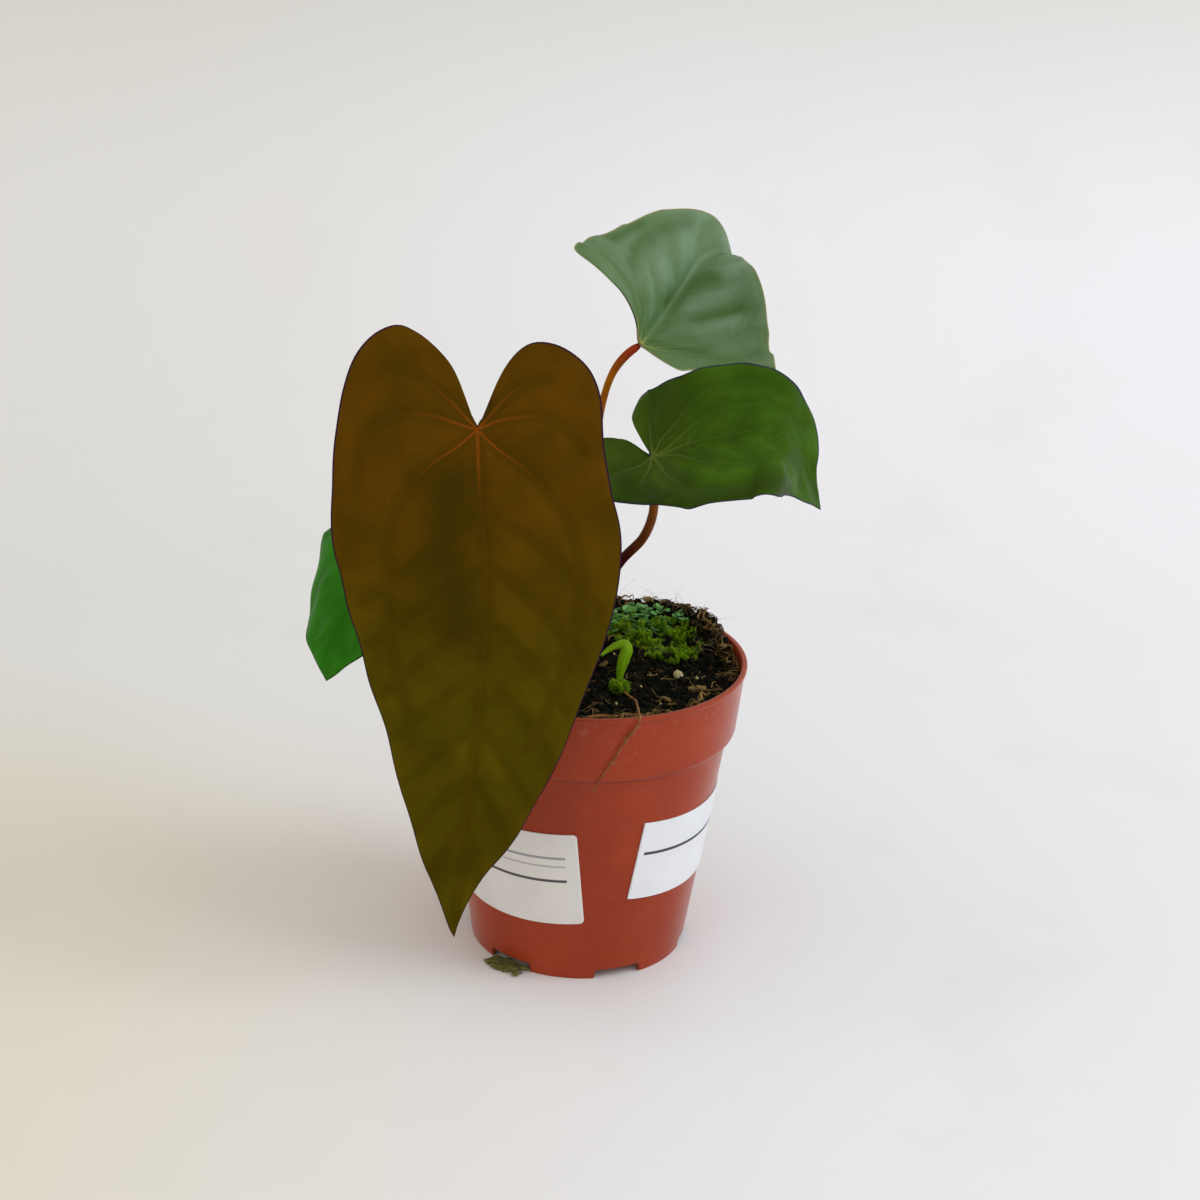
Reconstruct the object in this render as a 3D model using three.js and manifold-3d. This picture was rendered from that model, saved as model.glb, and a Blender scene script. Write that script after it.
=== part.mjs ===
// A potted anthurium: a terracotta-coloured nursery pot with two plain labels, peat with moss and
// liverwort on it, and a short stem that bears four heart-shaped leaves on petioles and one new shoot.
// Millimetres, +Z up. The origin is the centre of the pot's underside, and the front is -Y.
import * as THREE from 'three';
import { mergeVertices } from 'three/addons/utils/BufferGeometryUtils.js';
import Module from 'manifold-3d';

const wasm = await Module();
wasm.setup();

// Driving dimensions

const CLEARANCE = 0.3; // left between pieces that touch

const POT = {
  rimRadius: 60,
  rimInnerRadius: 58,
  beadHeight: 1.9,
  height: 115.6,
  baseRadius: 41.4,
  shoulderRadius: 54.1,
  collarFootRadius: 57,
  collarTopRadius: 59.3,
  shoulderHeight: 88.6,
  wall: 1.4,
  footHeight: 4,
  footWidth: 1.6,
  centrePadRadius: 16,
  segments: 48,
};

const NOTCH = { count: 6, firstAzimuth: 23, width: 19, taper: 1.5, height: 4 };
const DRAIN = { count: 8, radius: 3, circle: 29 };

const LABEL_THICKNESS = 0.6;
const LABEL_LEFT = { azimuth: -37.4, slant: 336.2, tilt: 0.5, width: 64, height: 40, corner: 1.8 };
const LABEL_RIGHT = { azimuth: 58.6, slant: 343, tilt: -1, width: 57, height: 33.5, corner: 0 };

const SOIL = { radius: 57.2, level: 111, rings: 9, spokes: 48, clods: 16 };
// Each mound: centre x, y, rise and spread.
const MOUNDS = [
  [26, 38, 3.2, 17],
  [46, 30, 7.6, 8],
  [33, 45, 5.2, 9],
  [8, 52, 3.6, 13],
  [-22, 42, 2.6, 14],
  [-4, 6, 1.6, 12],
  [42, -22, 1.6, 9],
  [10, -38, 1.2, 12],
  [40, 8, -2.4, 9],
];

const CROWN = { x: -3, y: 5, radius: 7.5, foot: 101, top: 125, socketRadius: 3.9, socketDepth: 5 };

const BLADE_THICKNESS = 0.8;
const BLADE_RINGS = [0.1, 0.28, 0.48, 0.68, 0.86, 1];

// A leaf is drawn flat, x across from the midrib and y along it from the petiole's junction, and then
// bent. midrib: points in space from behind the junction to the tip. sides: at a distance y along the
// midrib, the direction that the right half leaves in. fold and curl: at y, the angle in degrees that
// the left and right halves rise by, and the further turn in degrees per 10 mm across. foldWidth: how far
// from the midrib a blade takes up its fold. right and left: the outline from the sinus to the tip, as
// distances from the midrib and along it.
const LEAVES = {
  leaf_front: {
    midrib: [
      [-41.5, -43, 246.5], [-41, -50, 233], [-40.5, -57, 220.5], [-38.5, -66.5, 198.5],
      [-35.5, -74, 176], [-35, -79, 158], [-36, -83, 135.5], [-37.5, -86, 112.5],
      [-39.5, -87.5, 94], [-41.5, -88.5, 72], [-43, -88, 41.5],
    ],
    junction: 2,
    sides: [[-40, -1, 0.05, 0.04], [0, -1, 0.05, 0.04], [185, -1, 0.1, 0.04]],
    fold: [[-40, 10, 10], [0, 9, 9], [60, 7, 7], [185, 4, 4]],
    curl: [[-40, -3.4, -3.4], [185, -1.7, -1.7]],
    foldWidth: 4,
    right: [
      [0.8, -3], [3.5, -8.5], [6, -16], [9.5, -22.5], [15.5, -29], [21, -33.3], [27.5, -36], [34.5, -33.5],
      [41, -26.5], [46, -15], [48, -1], [50.3, 15], [51.5, 31], [50, 50], [45.5, 70], [40, 86.5],
      [33.5, 102.5], [27.5, 119.5], [21.5, 135], [14.5, 151], [7.5, 167.5], [2, 180],
    ],
    left: [
      [0.8, -3], [3.2, -5.5], [5, -11], [6.5, -16.5], [9.5, -22.5], [14, -27.5], [19, -30], [26, -29.5],
      [33, -26], [38.5, -20.5], [42, -11], [43, 5], [45, 25.5], [46.8, 40], [45, 53], [41.5, 68],
      [36.5, 84], [30.5, 106.5], [24, 125], [20, 137], [15, 147.5], [9.5, 157], [4, 169], [1.2, 178],
    ],
    tip: 184,
    ripple: [1.1, 0.9, 30],
    spokes: 56,
    colour: 0x554213,
  },
  leaf_top: {
    midrib: [
      [11, -12, 244.5], [12.5, -0.5, 237.5], [14.5, 11.5, 234], [17.5, 26, 233.5], [23, 39.5, 237.5],
      [29, 51.5, 244], [35.5, 63, 251.5], [43.5, 75, 254.5], [51, 85.5, 247.5],
    ],
    junction: 2,
    sides: [
      [-26, 0.71, -0.48, -0.51], [0, 0.75, -0.22, -0.63], [30, 0.8, -0.11, -0.59],
      [60, 0.83, -0.11, -0.55], [75, 0.58, -0.5, -0.64], [90, 0.31, -0.85, -0.42],
    ],
    fold: [[-25, 40, -8], [0, 50, 21], [91, 37, 34]],
    curl: [[-25, -15.5, 5.8], [91, -15.5, 5.8]],
    foldWidth: 1,
    right: [
      [1, -2.5], [5.5, -6.5], [13, -10.8], [18.5, -11.4], [20.8, -7.5], [23.1, -5.3], [25.9, -3.5],
      [29.1, -1.6], [33.8, -0.4], [39.3, -0.6], [44, -1.7], [47.6, -3.1], [50.3, -3.5], [51, -2.2],
      [50.3, -0.3], [47.7, 11.9], [42.8, 29.5], [38, 40], [34.5, 47], [29.2, 56.2], [21.5, 66.4],
      [14, 73], [8, 79.5], [2.5, 86.5],
    ],
    left: [
      [1, -2.5], [5, -3.6], [9.5, -3], [13, -3.6], [16.5, -5.5], [20.5, -9.6], [25.4, -13.1],
      [30.6, -13.8], [35.4, -13.4], [39.5, -12.3], [43, -9.5], [44.8, -4], [44.6, 6], [43.6, 17],
      [42.6, 25.2], [40.2, 32.7], [36.5, 41], [33.3, 48.6], [29.9, 55], [26.1, 60], [21.3, 66.2],
      [17.6, 70.6], [14.3, 74.1], [11.3, 77.4], [8, 81.5], [4, 86],
    ],
    tip: 90,
    ripple: [0.5, 0.5, 26],
    spokes: 56,
    colour: 0x4f6b4a,
  },
  leaf_right: {
    midrib: [
      [-5, -12, 193.5], [8, -15, 197.6], [20, -18, 201], [33, -21, 208], [47, -24, 212.5],
      [59, -26, 215.5], [67, -27, 214], [72, -26, 207.5], [76, -24, 197], [81.5, -20, 184],
    ],
    junction: 2,
    sides: [
      [-30, -0.1, -0.95, -0.31], [0, 0, -0.95, -0.31], [40, 0, -0.95, -0.31],
      [60, -0.2, -0.93, -0.31], [75, -0.5, -0.83, -0.1],
    ],
    fold: [
      [-30, 2, 12], [-14, 5, 8], [-7, 18, 6], [0, 26, 4], [12, 31, 4], [20, 34, 4],
      [40, 32, 3.3], [62, 18, 2.5], [75, 7, 2],
    ],
    curl: [[-30, 0, -4.6], [75, 0, -3.4]],
    foldWidth: 4,
    right: [
      [-1, -1.3], [-3.3, -3.7], [-7, -7.8], [-12.7, -14.4], [-15.3, -19.9], [-12.3, -26.9],
      [-4.3, -30.5], [4.7, -30.5], [17.5, -25.5], [22, -18], [24.1, -9.7], [25, -5.5], [27.5, 1],
      [32.2, 8.5], [35.9, 17], [36.3, 26.4], [36.3, 33.4], [35.8, 50.9], [27, 60], [13.4, 69.7],
      [6.8, 76.6], [2, 82.5],
    ],
    left: [
      [3, -1.5], [8.1, -4.7], [17.4, -9.3], [22.4, -10.2], [27.7, -7.3], [27.9, -0.8], [27.4, 5.3],
      [27.4, 7.8], [27.4, 10.3], [27.1, 12.8], [26.7, 15.5], [27.6, 22.3], [27.3, 36.1], [25, 41.4],
      [24.1, 43.8], [20.6, 48.8], [17.4, 52], [15.6, 58], [10.5, 64.8], [4.8, 72.5], [2.6, 81],
    ],
    tip: 85.5,
    ripple: [0.6, 0.7, 24],
    spokes: 52,
    colour: 0x3f6d20,
  },
  leaf_left: {
    midrib: [
      [-73.5, -5, 170.5], [-76.5, -9, 164], [-79.5, -12.5, 158], [-84.5, -18, 146], [-89, -24, 134],
      [-94.5, -31.5, 123.5], [-95, -32, 112],
    ],
    junction: 2,
    sides: [[-16, -0.78, 0.62, 0.03], [0, -0.79, 0.62, 0.03], [28, -0.8, 0.6, 0.01], [55, -0.76, 0.65, 0]],
    fold: [[-25, 10, 2], [0, 20, 17], [54, -5, -8]],
    curl: [[-25, 1.7, -16.5], [54, 1.7, -16.5]],
    foldWidth: 4,
    right: [
      [0.8, -2.5], [4, -5], [9.5, -9], [16, -11.8], [23, -11.8], [29.3, -9], [32.9, -3.2], [32.9, 4],
      [31.7, 12], [30, 19.5], [26.5, 26.5], [21.5, 32.5], [16, 38], [10, 43], [5, 48],
    ],
    left: [
      [0.8, -2.5], [4, -5], [9.5, -9], [16, -11.8], [23, -11.8], [29.3, -9], [32.9, -3.2], [32.9, 4],
      [31.7, 12], [30, 19.5], [26.5, 26.5], [21.5, 32.5], [16, 38], [10, 43], [5, 48],
    ],
    tip: 52,
    ripple: [0.4, 0.4, 18],
    spokes: 40,
    colour: 0x2f7a12,
  },
};

// Each petiole: the direction of its socket in the crown, seen from above, its radius at the foot, at
// two thirds and at the swollen joint, how far short of the leaf's rib its middle line ends, and the
// points between the socket and the leaf.
const PETIOLES = {
  petiole_front: {
    leaf: 'leaf_front', socket: 250, radii: [2, 1.6, 1.9], short: 0.7,
    route: [[-8, -3, 145], [-20, -20, 180], [-33, -38, 206]],
  },
  petiole_top: {
    leaf: 'leaf_top', socket: 85, radii: [1.9, 1.35, 1.6], short: 0.45,
    route: [[-2.5, 9, 150], [-1, 8.5, 185], [1.5, 8, 212.5], [5, 8.5, 224], [9.5, 10, 230]],
  },
  petiole_right: {
    leaf: 'leaf_right', socket: 350, radii: [2, 1.7, 2.1], short: 0.35,
    route: [[4.5, 1, 142], [11, -5, 156], [18.5, -9.5, 167], [21.5, -12.5, 178], [20.8, -14.5, 190]],
  },
  petiole_left: {
    leaf: 'leaf_left', socket: 165, radii: [1.5, 1.1, 1.3], short: 0.8,
    route: [[-17, 10, 140], [-38, 10, 156], [-60, 4, 162], [-72, -4, 160]],
  },
};

const SHOOT = {
  route: [[12, -13.5, 106], [12.2, -13.5, 116], [13.5, -13, 122.5], [11.5, -13.2, 125.8], [7.5, -13.8, 124.6], [4.8, -14.5, 121.6]],
  widths: [1.5, 2.1, 2.3, 2, 1.4, 0.6],
  flatness: 0.5,
};

const COLOURS = {
  pot: 0x96402a, label: 0xd9dbdf, soil: 0x17120e, crown: 0x5b4a2a, petiole: 0x8a4a22, shoot: 0x78a83a,
  moss: 0x4c7a1e, liverwort: 0x4e7a52, root: 0x8d7a5c, bark: 0xa98c5f,
};

// Small tools

const radians = THREE.MathUtils.degToRad;

// A repeatable random number between 0 and 1, from a seed.
function seeded(seed) {
  let state = seed;
  return () => {
    state = (state * 1664525 + 1013904223) % 4294967296;
    return state / 4294967296;
  };
}

// The value at a distance in rows of [distance, values...], straight between rows.
function atDistance(rows, distance, column) {
  if (distance <= rows[0][0]) return rows[0][column];
  for (let i = 1; i < rows.length; i += 1) {
    if (distance <= rows[i][0]) {
      const share = (distance - rows[i - 1][0]) / (rows[i][0] - rows[i - 1][0]);
      return rows[i - 1][column] + share * (rows[i][column] - rows[i - 1][column]);
    }
  }
  return rows[rows.length - 1][column];
}

function geometryOf(positions, triangles) {
  const geometry = new THREE.BufferGeometry();
  geometry.setAttribute('position', new THREE.Float32BufferAttribute(positions, 3));
  geometry.setIndex(triangles);
  return geometry;
}

function solidOf(geometry) {
  const bare = geometry.index ? geometry.toNonIndexed() : geometry.clone();
  bare.deleteAttribute('normal');
  bare.deleteAttribute('uv');
  const merged = mergeVertices(bare, 1e-4);
  return new wasm.Manifold(new wasm.Mesh({
    numProp: 3,
    vertProperties: merged.attributes.position.array,
    triVerts: new Uint32Array(merged.index.array),
  }));
}

function geometryFrom(solid) {
  const mesh = solid.getMesh();
  return geometryOf(Array.from(mesh.vertProperties), Array.from(mesh.triVerts));
}

// The largest connected body of a solid, so that a scrap cut loose is dropped.
function largestBody(solid) {
  return solid.decompose().sort((a, b) => b.volume() - a.volume())[0];
}

// Several shapes joined in one body.
function fused(geometries) {
  return geometryFrom(largestBody(geometries.map(solidOf).reduce((whole, next) => whole.add(next))));
}

// A shape cut from below, so that it lies on another one with the clearance between them.
function seated(geometry, ground) {
  const lifted = solidOf(ground).translate([0, 0, CLEARANCE]);
  return geometryFrom(largestBody(solidOf(geometry).subtract(lifted)));
}

function piece(name, geometry, colour, roughness = 0.8) {
  const mesh = new THREE.Mesh(geometry, new THREE.MeshStandardMaterial({ color: colour, roughness, metalness: 0 }));
  mesh.name = name;
  return mesh;
}

// A closed skin over rows of points that each run round once: rows[0] and the last row are capped
// with a fan about their middle.
function skinned(rows) {
  const positions = [];
  const triangles = [];
  const around = rows[0].length;
  rows.forEach((row) => row.forEach((p) => positions.push(p.x, p.y, p.z)));
  for (let i = 0; i + 1 < rows.length; i += 1) {
    for (let k = 0; k < around; k += 1) {
      const a = i * around + k;
      const b = i * around + ((k + 1) % around);
      triangles.push(a, b, b + around, a, b + around, a + around);
    }
  }
  [0, rows.length - 1].forEach((end) => {
    const middle = rows[end].reduce((sum, p) => sum.add(p), new THREE.Vector3()).divideScalar(around);
    const centre = positions.length / 3;
    positions.push(middle.x, middle.y, middle.z);
    for (let k = 0; k < around; k += 1) {
      const a = end * around + k;
      const b = end * around + ((k + 1) % around);
      if (end === 0) triangles.push(centre, b, a);
      else triangles.push(centre, a, b);
    }
  });
  return geometryOf(positions, triangles);
}

// A closed stem along a smooth curve. radiusAt gives the radius at a share of the length, and flatness
// narrows the section across its second direction.
function stem(route, radiusAt, { sides = 10, steps = 24, flatness = 1 } = {}) {
  const curve = new THREE.CatmullRomCurve3(route.map((p) => new THREE.Vector3(...p)), false, 'centripetal');
  const frames = curve.computeFrenetFrames(steps, false);
  const rows = [];
  for (let i = 0; i <= steps; i += 1) {
    const share = i / steps;
    const centre = curve.getPointAt(share);
    const radius = radiusAt(share);
    const row = [];
    for (let k = 0; k < sides; k += 1) {
      const angle = (2 * Math.PI * k) / sides;
      row.push(centre.clone()
        .addScaledVector(frames.normals[i], radius * Math.cos(angle))
        .addScaledVector(frames.binormals[i], radius * flatness * Math.sin(angle)));
    }
    rows.push(row);
  }
  return skinned(rows);
}

// A rough lump: an icosahedron with its corners moved in and out, stretched and placed.
function lump(random, centre, size) {
  const round = new THREE.IcosahedronGeometry(1, 0);
  round.deleteAttribute('normal');
  round.deleteAttribute('uv');
  const ball = mergeVertices(round, 1e-4);
  const corners = ball.attributes.position;
  for (let i = 0; i < corners.count; i += 1) {
    const stretch = 0.8 + 0.4 * random();
    corners.setXYZ(i, corners.getX(i) * stretch, corners.getY(i) * stretch, corners.getZ(i) * stretch);
  }
  ball.rotateX(random() * 3).rotateZ(random() * 6);
  ball.scale(...size);
  return ball.translate(...centre);
}

// Pot

function potGeometry() {
  const { wall, height, footHeight, footWidth, centrePadRadius, baseRadius, shoulderRadius } = POT;
  const { shoulderHeight, collarFootRadius, collarTopRadius, rimRadius, rimInnerRadius, beadHeight } = POT;
  const beadFoot = height - beadHeight;
  const profile = [
    [0, 0],
    [centrePadRadius, 0],
    [centrePadRadius + 1, footHeight],
    [baseRadius - footWidth - 0.3, footHeight],
    [baseRadius - footWidth, 0],
    [baseRadius, 0],
    [shoulderRadius, shoulderHeight],
    [shoulderRadius + 0.4, shoulderHeight + 0.2],
    [collarFootRadius - 0.5, shoulderHeight + 0.9],
    [collarFootRadius, shoulderHeight + 1.8],
    [collarTopRadius, beadFoot],
    [rimRadius - 0.2, beadFoot + 0.2],
    [rimRadius, beadFoot + 0.6],
    [rimRadius, height - 0.5],
    [rimRadius - 0.5, height],
    [rimInnerRadius + 0.4, height],
    [rimInnerRadius, height - 0.4],
    [collarFootRadius - wall, shoulderHeight + 2.6],
    [collarFootRadius - wall - 0.6, shoulderHeight + 1.8],
    [shoulderRadius - wall, shoulderHeight + 0.9],
    [baseRadius + 0.7 - wall, footHeight + wall + 1.5],
    [baseRadius - 0.8 - wall, footHeight + wall],
    [centrePadRadius + 2.2, footHeight + wall],
    [centrePadRadius + 1, wall],
    [0, wall],
  ].map(([r, z]) => new THREE.Vector2(r, z));
  const turned = new THREE.LatheGeometry(profile, POT.segments).rotateX(Math.PI / 2);
  let solid = solidOf(turned);
  for (let i = 0; i < NOTCH.count; i += 1) {
    const outline = new THREE.Shape([
      new THREE.Vector2(-NOTCH.width / 2, -1),
      new THREE.Vector2(NOTCH.width / 2, -1),
      new THREE.Vector2(NOTCH.width / 2 - NOTCH.taper, NOTCH.height),
      new THREE.Vector2(-NOTCH.width / 2 + NOTCH.taper, NOTCH.height),
    ]);
    const block = new THREE.ExtrudeGeometry(outline, { depth: 8, bevelEnabled: false });
    block.rotateX(Math.PI / 2).translate(0, 4 - baseRadius, 0);
    block.rotateZ(radians(NOTCH.firstAzimuth + (360 / NOTCH.count) * i));
    solid = solid.subtract(solidOf(block));
  }
  for (let i = 0; i < DRAIN.count; i += 1) {
    const hole = new THREE.CylinderGeometry(DRAIN.radius, DRAIN.radius, 6, 12).rotateX(Math.PI / 2);
    hole.translate(0, -DRAIN.circle, footHeight);
    hole.rotateZ(radians((360 / DRAIN.count) * (i + 0.5)));
    solid = solid.subtract(solidOf(hole));
  }
  return geometryFrom(solid);
}

// Labels: a flat rectangle wrapped on the pot's cone. A point at a slant distance s from the cone's
// apex and an angle g in the flattened cone stands at the azimuth g / sin(half angle).

const CONE_SINE = Math.sin(Math.atan((POT.shoulderRadius - POT.baseRadius) / POT.shoulderHeight));
const CONE_COSINE = Math.sqrt(1 - CONE_SINE ** 2);
const APEX_HEIGHT = -POT.baseRadius / (CONE_SINE / CONE_COSINE);

function onCone(across, up, label, proud) {
  const tilt = radians(label.tilt);
  const flatX = across * Math.cos(tilt) - up * Math.sin(tilt);
  const flatY = label.slant + across * Math.sin(tilt) + up * Math.cos(tilt);
  const slant = Math.hypot(flatX, flatY);
  const azimuth = radians(label.azimuth) + Math.atan2(flatX, flatY) / CONE_SINE;
  const radius = slant * CONE_SINE + proud * CONE_COSINE;
  const z = APEX_HEIGHT + slant * CONE_COSINE - proud * CONE_SINE;
  return new THREE.Vector3(radius * Math.sin(azimuth), -radius * Math.cos(azimuth), z);
}

function labelGeometry(label) {
  const half = label.height / 2;
  const corner = label.corner;
  const rowHeights = [-half, -half + corner * 0.3, -half + corner, -half / 3, half / 3, half - corner, half - corner * 0.3, half]
    .filter((h, i, all) => i === 0 || h > all[i - 1] + 0.01);
  const columns = 12;
  const rows = rowHeights.map((h) => {
    const intoCorner = Math.max(0, Math.abs(h) - (half - corner));
    const reach = label.width / 2 - (corner - Math.sqrt(Math.max(0, corner ** 2 - intoCorner ** 2)));
    const front = [];
    const back = [];
    for (let i = 0; i <= columns; i += 1) {
      const across = -reach + (2 * reach * i) / columns;
      front.push(onCone(across, h, label, CLEARANCE + LABEL_THICKNESS));
      back.unshift(onCone(across, h, label, CLEARANCE));
    }
    return [...front, ...back];
  });
  return stripClosed(rows, columns);
}

// Rows of points, each front side then back side, joined into one thin closed sheet.
function stripClosed(rows, columns) {
  const positions = [];
  const triangles = [];
  const around = 2 * (columns + 1);
  rows.forEach((row) => row.forEach((p) => positions.push(p.x, p.y, p.z)));
  for (let i = 0; i + 1 < rows.length; i += 1) {
    for (let k = 0; k < around; k += 1) {
      const a = i * around + k;
      const b = i * around + ((k + 1) % around);
      triangles.push(a, b, b + around, a, b + around, a + around);
    }
  }
  for (let k = 0; k < columns; k += 1) {
    const last = (rows.length - 1) * around;
    const facing = around - 1 - k;
    triangles.push(k, facing, facing - 1, k, facing - 1, k + 1);
    triangles.push(last + k, last + facing - 1, last + facing, last + k, last + k + 1, last + facing - 1);
  }
  return geometryOf(positions, triangles);
}

// Soil

function soilHeight(x, y) {
  const rise = MOUNDS.reduce((sum, [cx, cy, up, spread]) => (
    sum + up * Math.exp(-((x - cx) ** 2 + (y - cy) ** 2) / (2 * spread ** 2))), 0);
  return SOIL.level + rise + 0.35 * Math.sin(x / 5.3 + 1) * Math.cos(y / 4.7);
}

function soilGeometry() {
  const inner = [
    [POT.centrePadRadius + 0.7, POT.wall + CLEARANCE],
    [POT.centrePadRadius + 1.9, POT.footHeight + POT.wall + CLEARANCE],
    [POT.baseRadius - 1.2 - POT.wall, POT.footHeight + POT.wall + CLEARANCE],
    [POT.baseRadius + 0.3 - POT.wall, POT.footHeight + POT.wall + 1.7],
    [POT.shoulderRadius - POT.wall - 0.35, POT.shoulderHeight + 1.1],
    [POT.collarFootRadius - POT.wall - 0.5, POT.shoulderHeight + 2.6],
  ];
  const ringPoints = (radius, z) => Array.from({ length: SOIL.spokes }, (_, k) => {
    const angle = (2 * Math.PI * k) / SOIL.spokes;
    const x = radius * Math.cos(angle);
    const y = radius * Math.sin(angle);
    return new THREE.Vector3(x, y, z === undefined ? soilHeight(x, y) : z);
  });
  const rows = inner.map(([radius, z]) => ringPoints(radius, z));
  for (let i = SOIL.rings; i >= 1; i -= 1) rows.push(ringPoints((SOIL.radius * i) / SOIL.rings));
  let solid = solidOf(skinned(rows));

  const random = seeded(11);
  for (let i = 0; i < SOIL.clods; i += 1) {
    const angle = random() * 2 * Math.PI;
    const radius = 12 + 41 * Math.sqrt(random());
    const x = radius * Math.cos(angle);
    const y = radius * Math.sin(angle);
    const size = 1.1 + 1.9 * random();
    if (onPatch(x, y, 3.5)) continue;
    const clod = lump(random, [x, y, soilHeight(x, y) - 0.2 * size], [size * 1.2, size, size * 0.8]);
    solid = solid.add(solidOf(clod));
  }
  const crownHole = new THREE.CylinderGeometry(CROWN.radius + CLEARANCE, CROWN.radius + CLEARANCE, 40, 28);
  crownHole.rotateX(Math.PI / 2).translate(CROWN.x, CROWN.y, CROWN.foot - CLEARANCE + 20);
  solid = solid.subtract(solidOf(crownHole));
  const shootHole = new THREE.CylinderGeometry(2.3, 2.3, 30, 16).rotateX(Math.PI / 2);
  shootHole.translate(SHOOT.route[0][0], SHOOT.route[0][1], SHOOT.route[0][2] - CLEARANCE + 15);
  return geometryFrom(largestBody(solid.subtract(solidOf(shootHole))));
}

// Things that grow on the soil

// Each patch: centre, half sizes, turn in degrees and height at its middle.
const PATCHES = {
  liverwort: { x: 19, y: 32, a: 16, b: 10.5, turn: -12, height: 2.2 },
  moss_cushion: { x: 31, y: 15.5, a: 12, b: 7.5, turn: 8, height: 2 },
  moss_clump: { x: 12.5, y: -23, a: 4.6, b: 3.6, turn: 0, height: 2.6 },
};

// Whether a point lies within a margin of any patch.
function onPatch(x, y, margin) {
  const near = Object.values(PATCHES).some((patch) => {
    const turn = radians(patch.turn);
    const u = (x - patch.x) * Math.cos(turn) + (y - patch.y) * Math.sin(turn);
    const v = -(x - patch.x) * Math.sin(turn) + (y - patch.y) * Math.cos(turn);
    return (u / (patch.a + margin)) ** 2 + (v / (patch.b + margin)) ** 2 < 1;
  });
  const nearStem = Math.hypot(x - CROWN.x, y - CROWN.y) < CROWN.radius + margin + 1;
  const nearShoot = Math.hypot(x - SHOOT.route[0][0], y - SHOOT.route[0][1]) < 3 + margin;
  return near || nearStem || nearShoot;
}

function patchPoint(patch, share, angle, lift) {
  const turn = radians(patch.turn);
  const edge = 1 + 0.12 * Math.sin(3 * angle + 1) + 0.07 * Math.sin(7 * angle);
  const u = patch.a * share * edge * Math.cos(angle);
  const v = patch.b * share * edge * Math.sin(angle);
  const x = patch.x + u * Math.cos(turn) - v * Math.sin(turn);
  const y = patch.y + u * Math.sin(turn) + v * Math.cos(turn);
  return new THREE.Vector3(x, y, soilHeight(x, y) + lift);
}

// A low mat that follows the soil, reaches a little into it and is highest in its middle.
function mat(patch, around = 16) {
  const row = (share, lift) => Array.from({ length: around }, (_, k) => (
    patchPoint(patch, share, (2 * Math.PI * k) / around, lift)));
  return skinned([
    row(0.5, -0.6), row(1, -0.6), row(1, 0.7), row(0.85, 0.6 * patch.height), row(0.45, patch.height),
  ]);
}

// Rounded lobes of a liverwort, thin and tilted, rooted in the mat.
function liverwortGeometry() {
  const random = seeded(5);
  const patch = PATCHES.liverwort;
  const lobes = 13;
  const parts = [mat(patch)];
  for (let i = 0; i < lobes; i += 1) {
    const angle = i * 2.4;
    const share = 0.95 * Math.sqrt((i + 0.5) / lobes);
    const root = patchPoint(patch, share, angle, CLEARANCE + 0.5 * patch.height + 1.1);
    const lobe = new THREE.SphereGeometry(1, 7, 4);
    lobe.scale(2.6 + 1.6 * random(), 2 + 1.2 * random(), 0.5);
    lobe.rotateX(radians(10 + 35 * random())).rotateZ(random() * 6.28);
    parts.push(lobe.translate(root.x, root.y, root.z + 0.5 * random()));
  }
  return fused(parts);
}

// A cushion of moss: its mat with small rounded tufts rooted in it.
function mossGeometry(patch, tufts, seed, size) {
  const random = seeded(seed);
  const parts = [mat(patch)];
  for (let i = 0; i < tufts; i += 1) {
    const share = 0.88 * Math.sqrt((i + 0.5) / tufts);
    const root = patchPoint(patch, share, i * 2.4, CLEARANCE + (0.9 - 0.4 * share) * patch.height + 0.5);
    const wide = size * (0.8 + 0.5 * random());
    parts.push(lump(random, [root.x, root.y, root.z], [wide, wide, wide * 0.9]));
  }
  return fused(parts);
}

// Crown

function socketCentre(azimuth) {
  const reach = CROWN.socketRadius;
  return [CROWN.x + reach * Math.cos(radians(azimuth)), CROWN.y + reach * Math.sin(radians(azimuth))];
}

function crownGeometry() {
  const { radius, foot, top } = CROWN;
  const profile = [
    [0, foot], [radius * 0.8, foot], [radius * 0.95, foot + 4], [radius * 0.95, top - 8],
    [radius * 0.86, top - 3], [radius * 0.6, top - 0.4], [0, top],
  ].map(([r, z]) => new THREE.Vector2(r, z));
  const stub = new THREE.LatheGeometry(profile, 18).rotateX(Math.PI / 2).translate(CROWN.x, CROWN.y, 0);
  let solid = solidOf(stub);
  // Dry sheaths that once wrapped the young leaves: flat, pointed, leaning outwards.
  [30, 120, 205, 300].forEach((azimuth, i) => {
    const turn = radians(azimuth);
    const at = (reach, z) => [CROWN.x + reach * Math.cos(turn), CROWN.y + reach * Math.sin(turn), z];
    const sheath = stem(
      [at(radius * 0.7, top - 9), at(radius * 0.95, top), at(radius * 1.15, top + 8), at(radius * 1.5, top + 15 - 3 * i)],
      (share) => 3.2 * (1 - share) ** 0.6 + 0.35,
      { sides: 6, steps: 5, flatness: 0.35 },
    );
    solid = solid.add(solidOf(sheath));
  });
  Object.values(PETIOLES).forEach((petiole) => {
    const [x, y] = socketCentre(petiole.socket);
    const bore = petiole.radii[0] + CLEARANCE + 0.1;
    const socket = new THREE.CylinderGeometry(bore, bore, 40, 14).rotateX(Math.PI / 2);
    socket.translate(x, y, top - CROWN.socketDepth + 20);
    solid = solid.subtract(solidOf(socket));
  });
  return geometryFrom(largestBody(solid));
}

// Leaves

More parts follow.
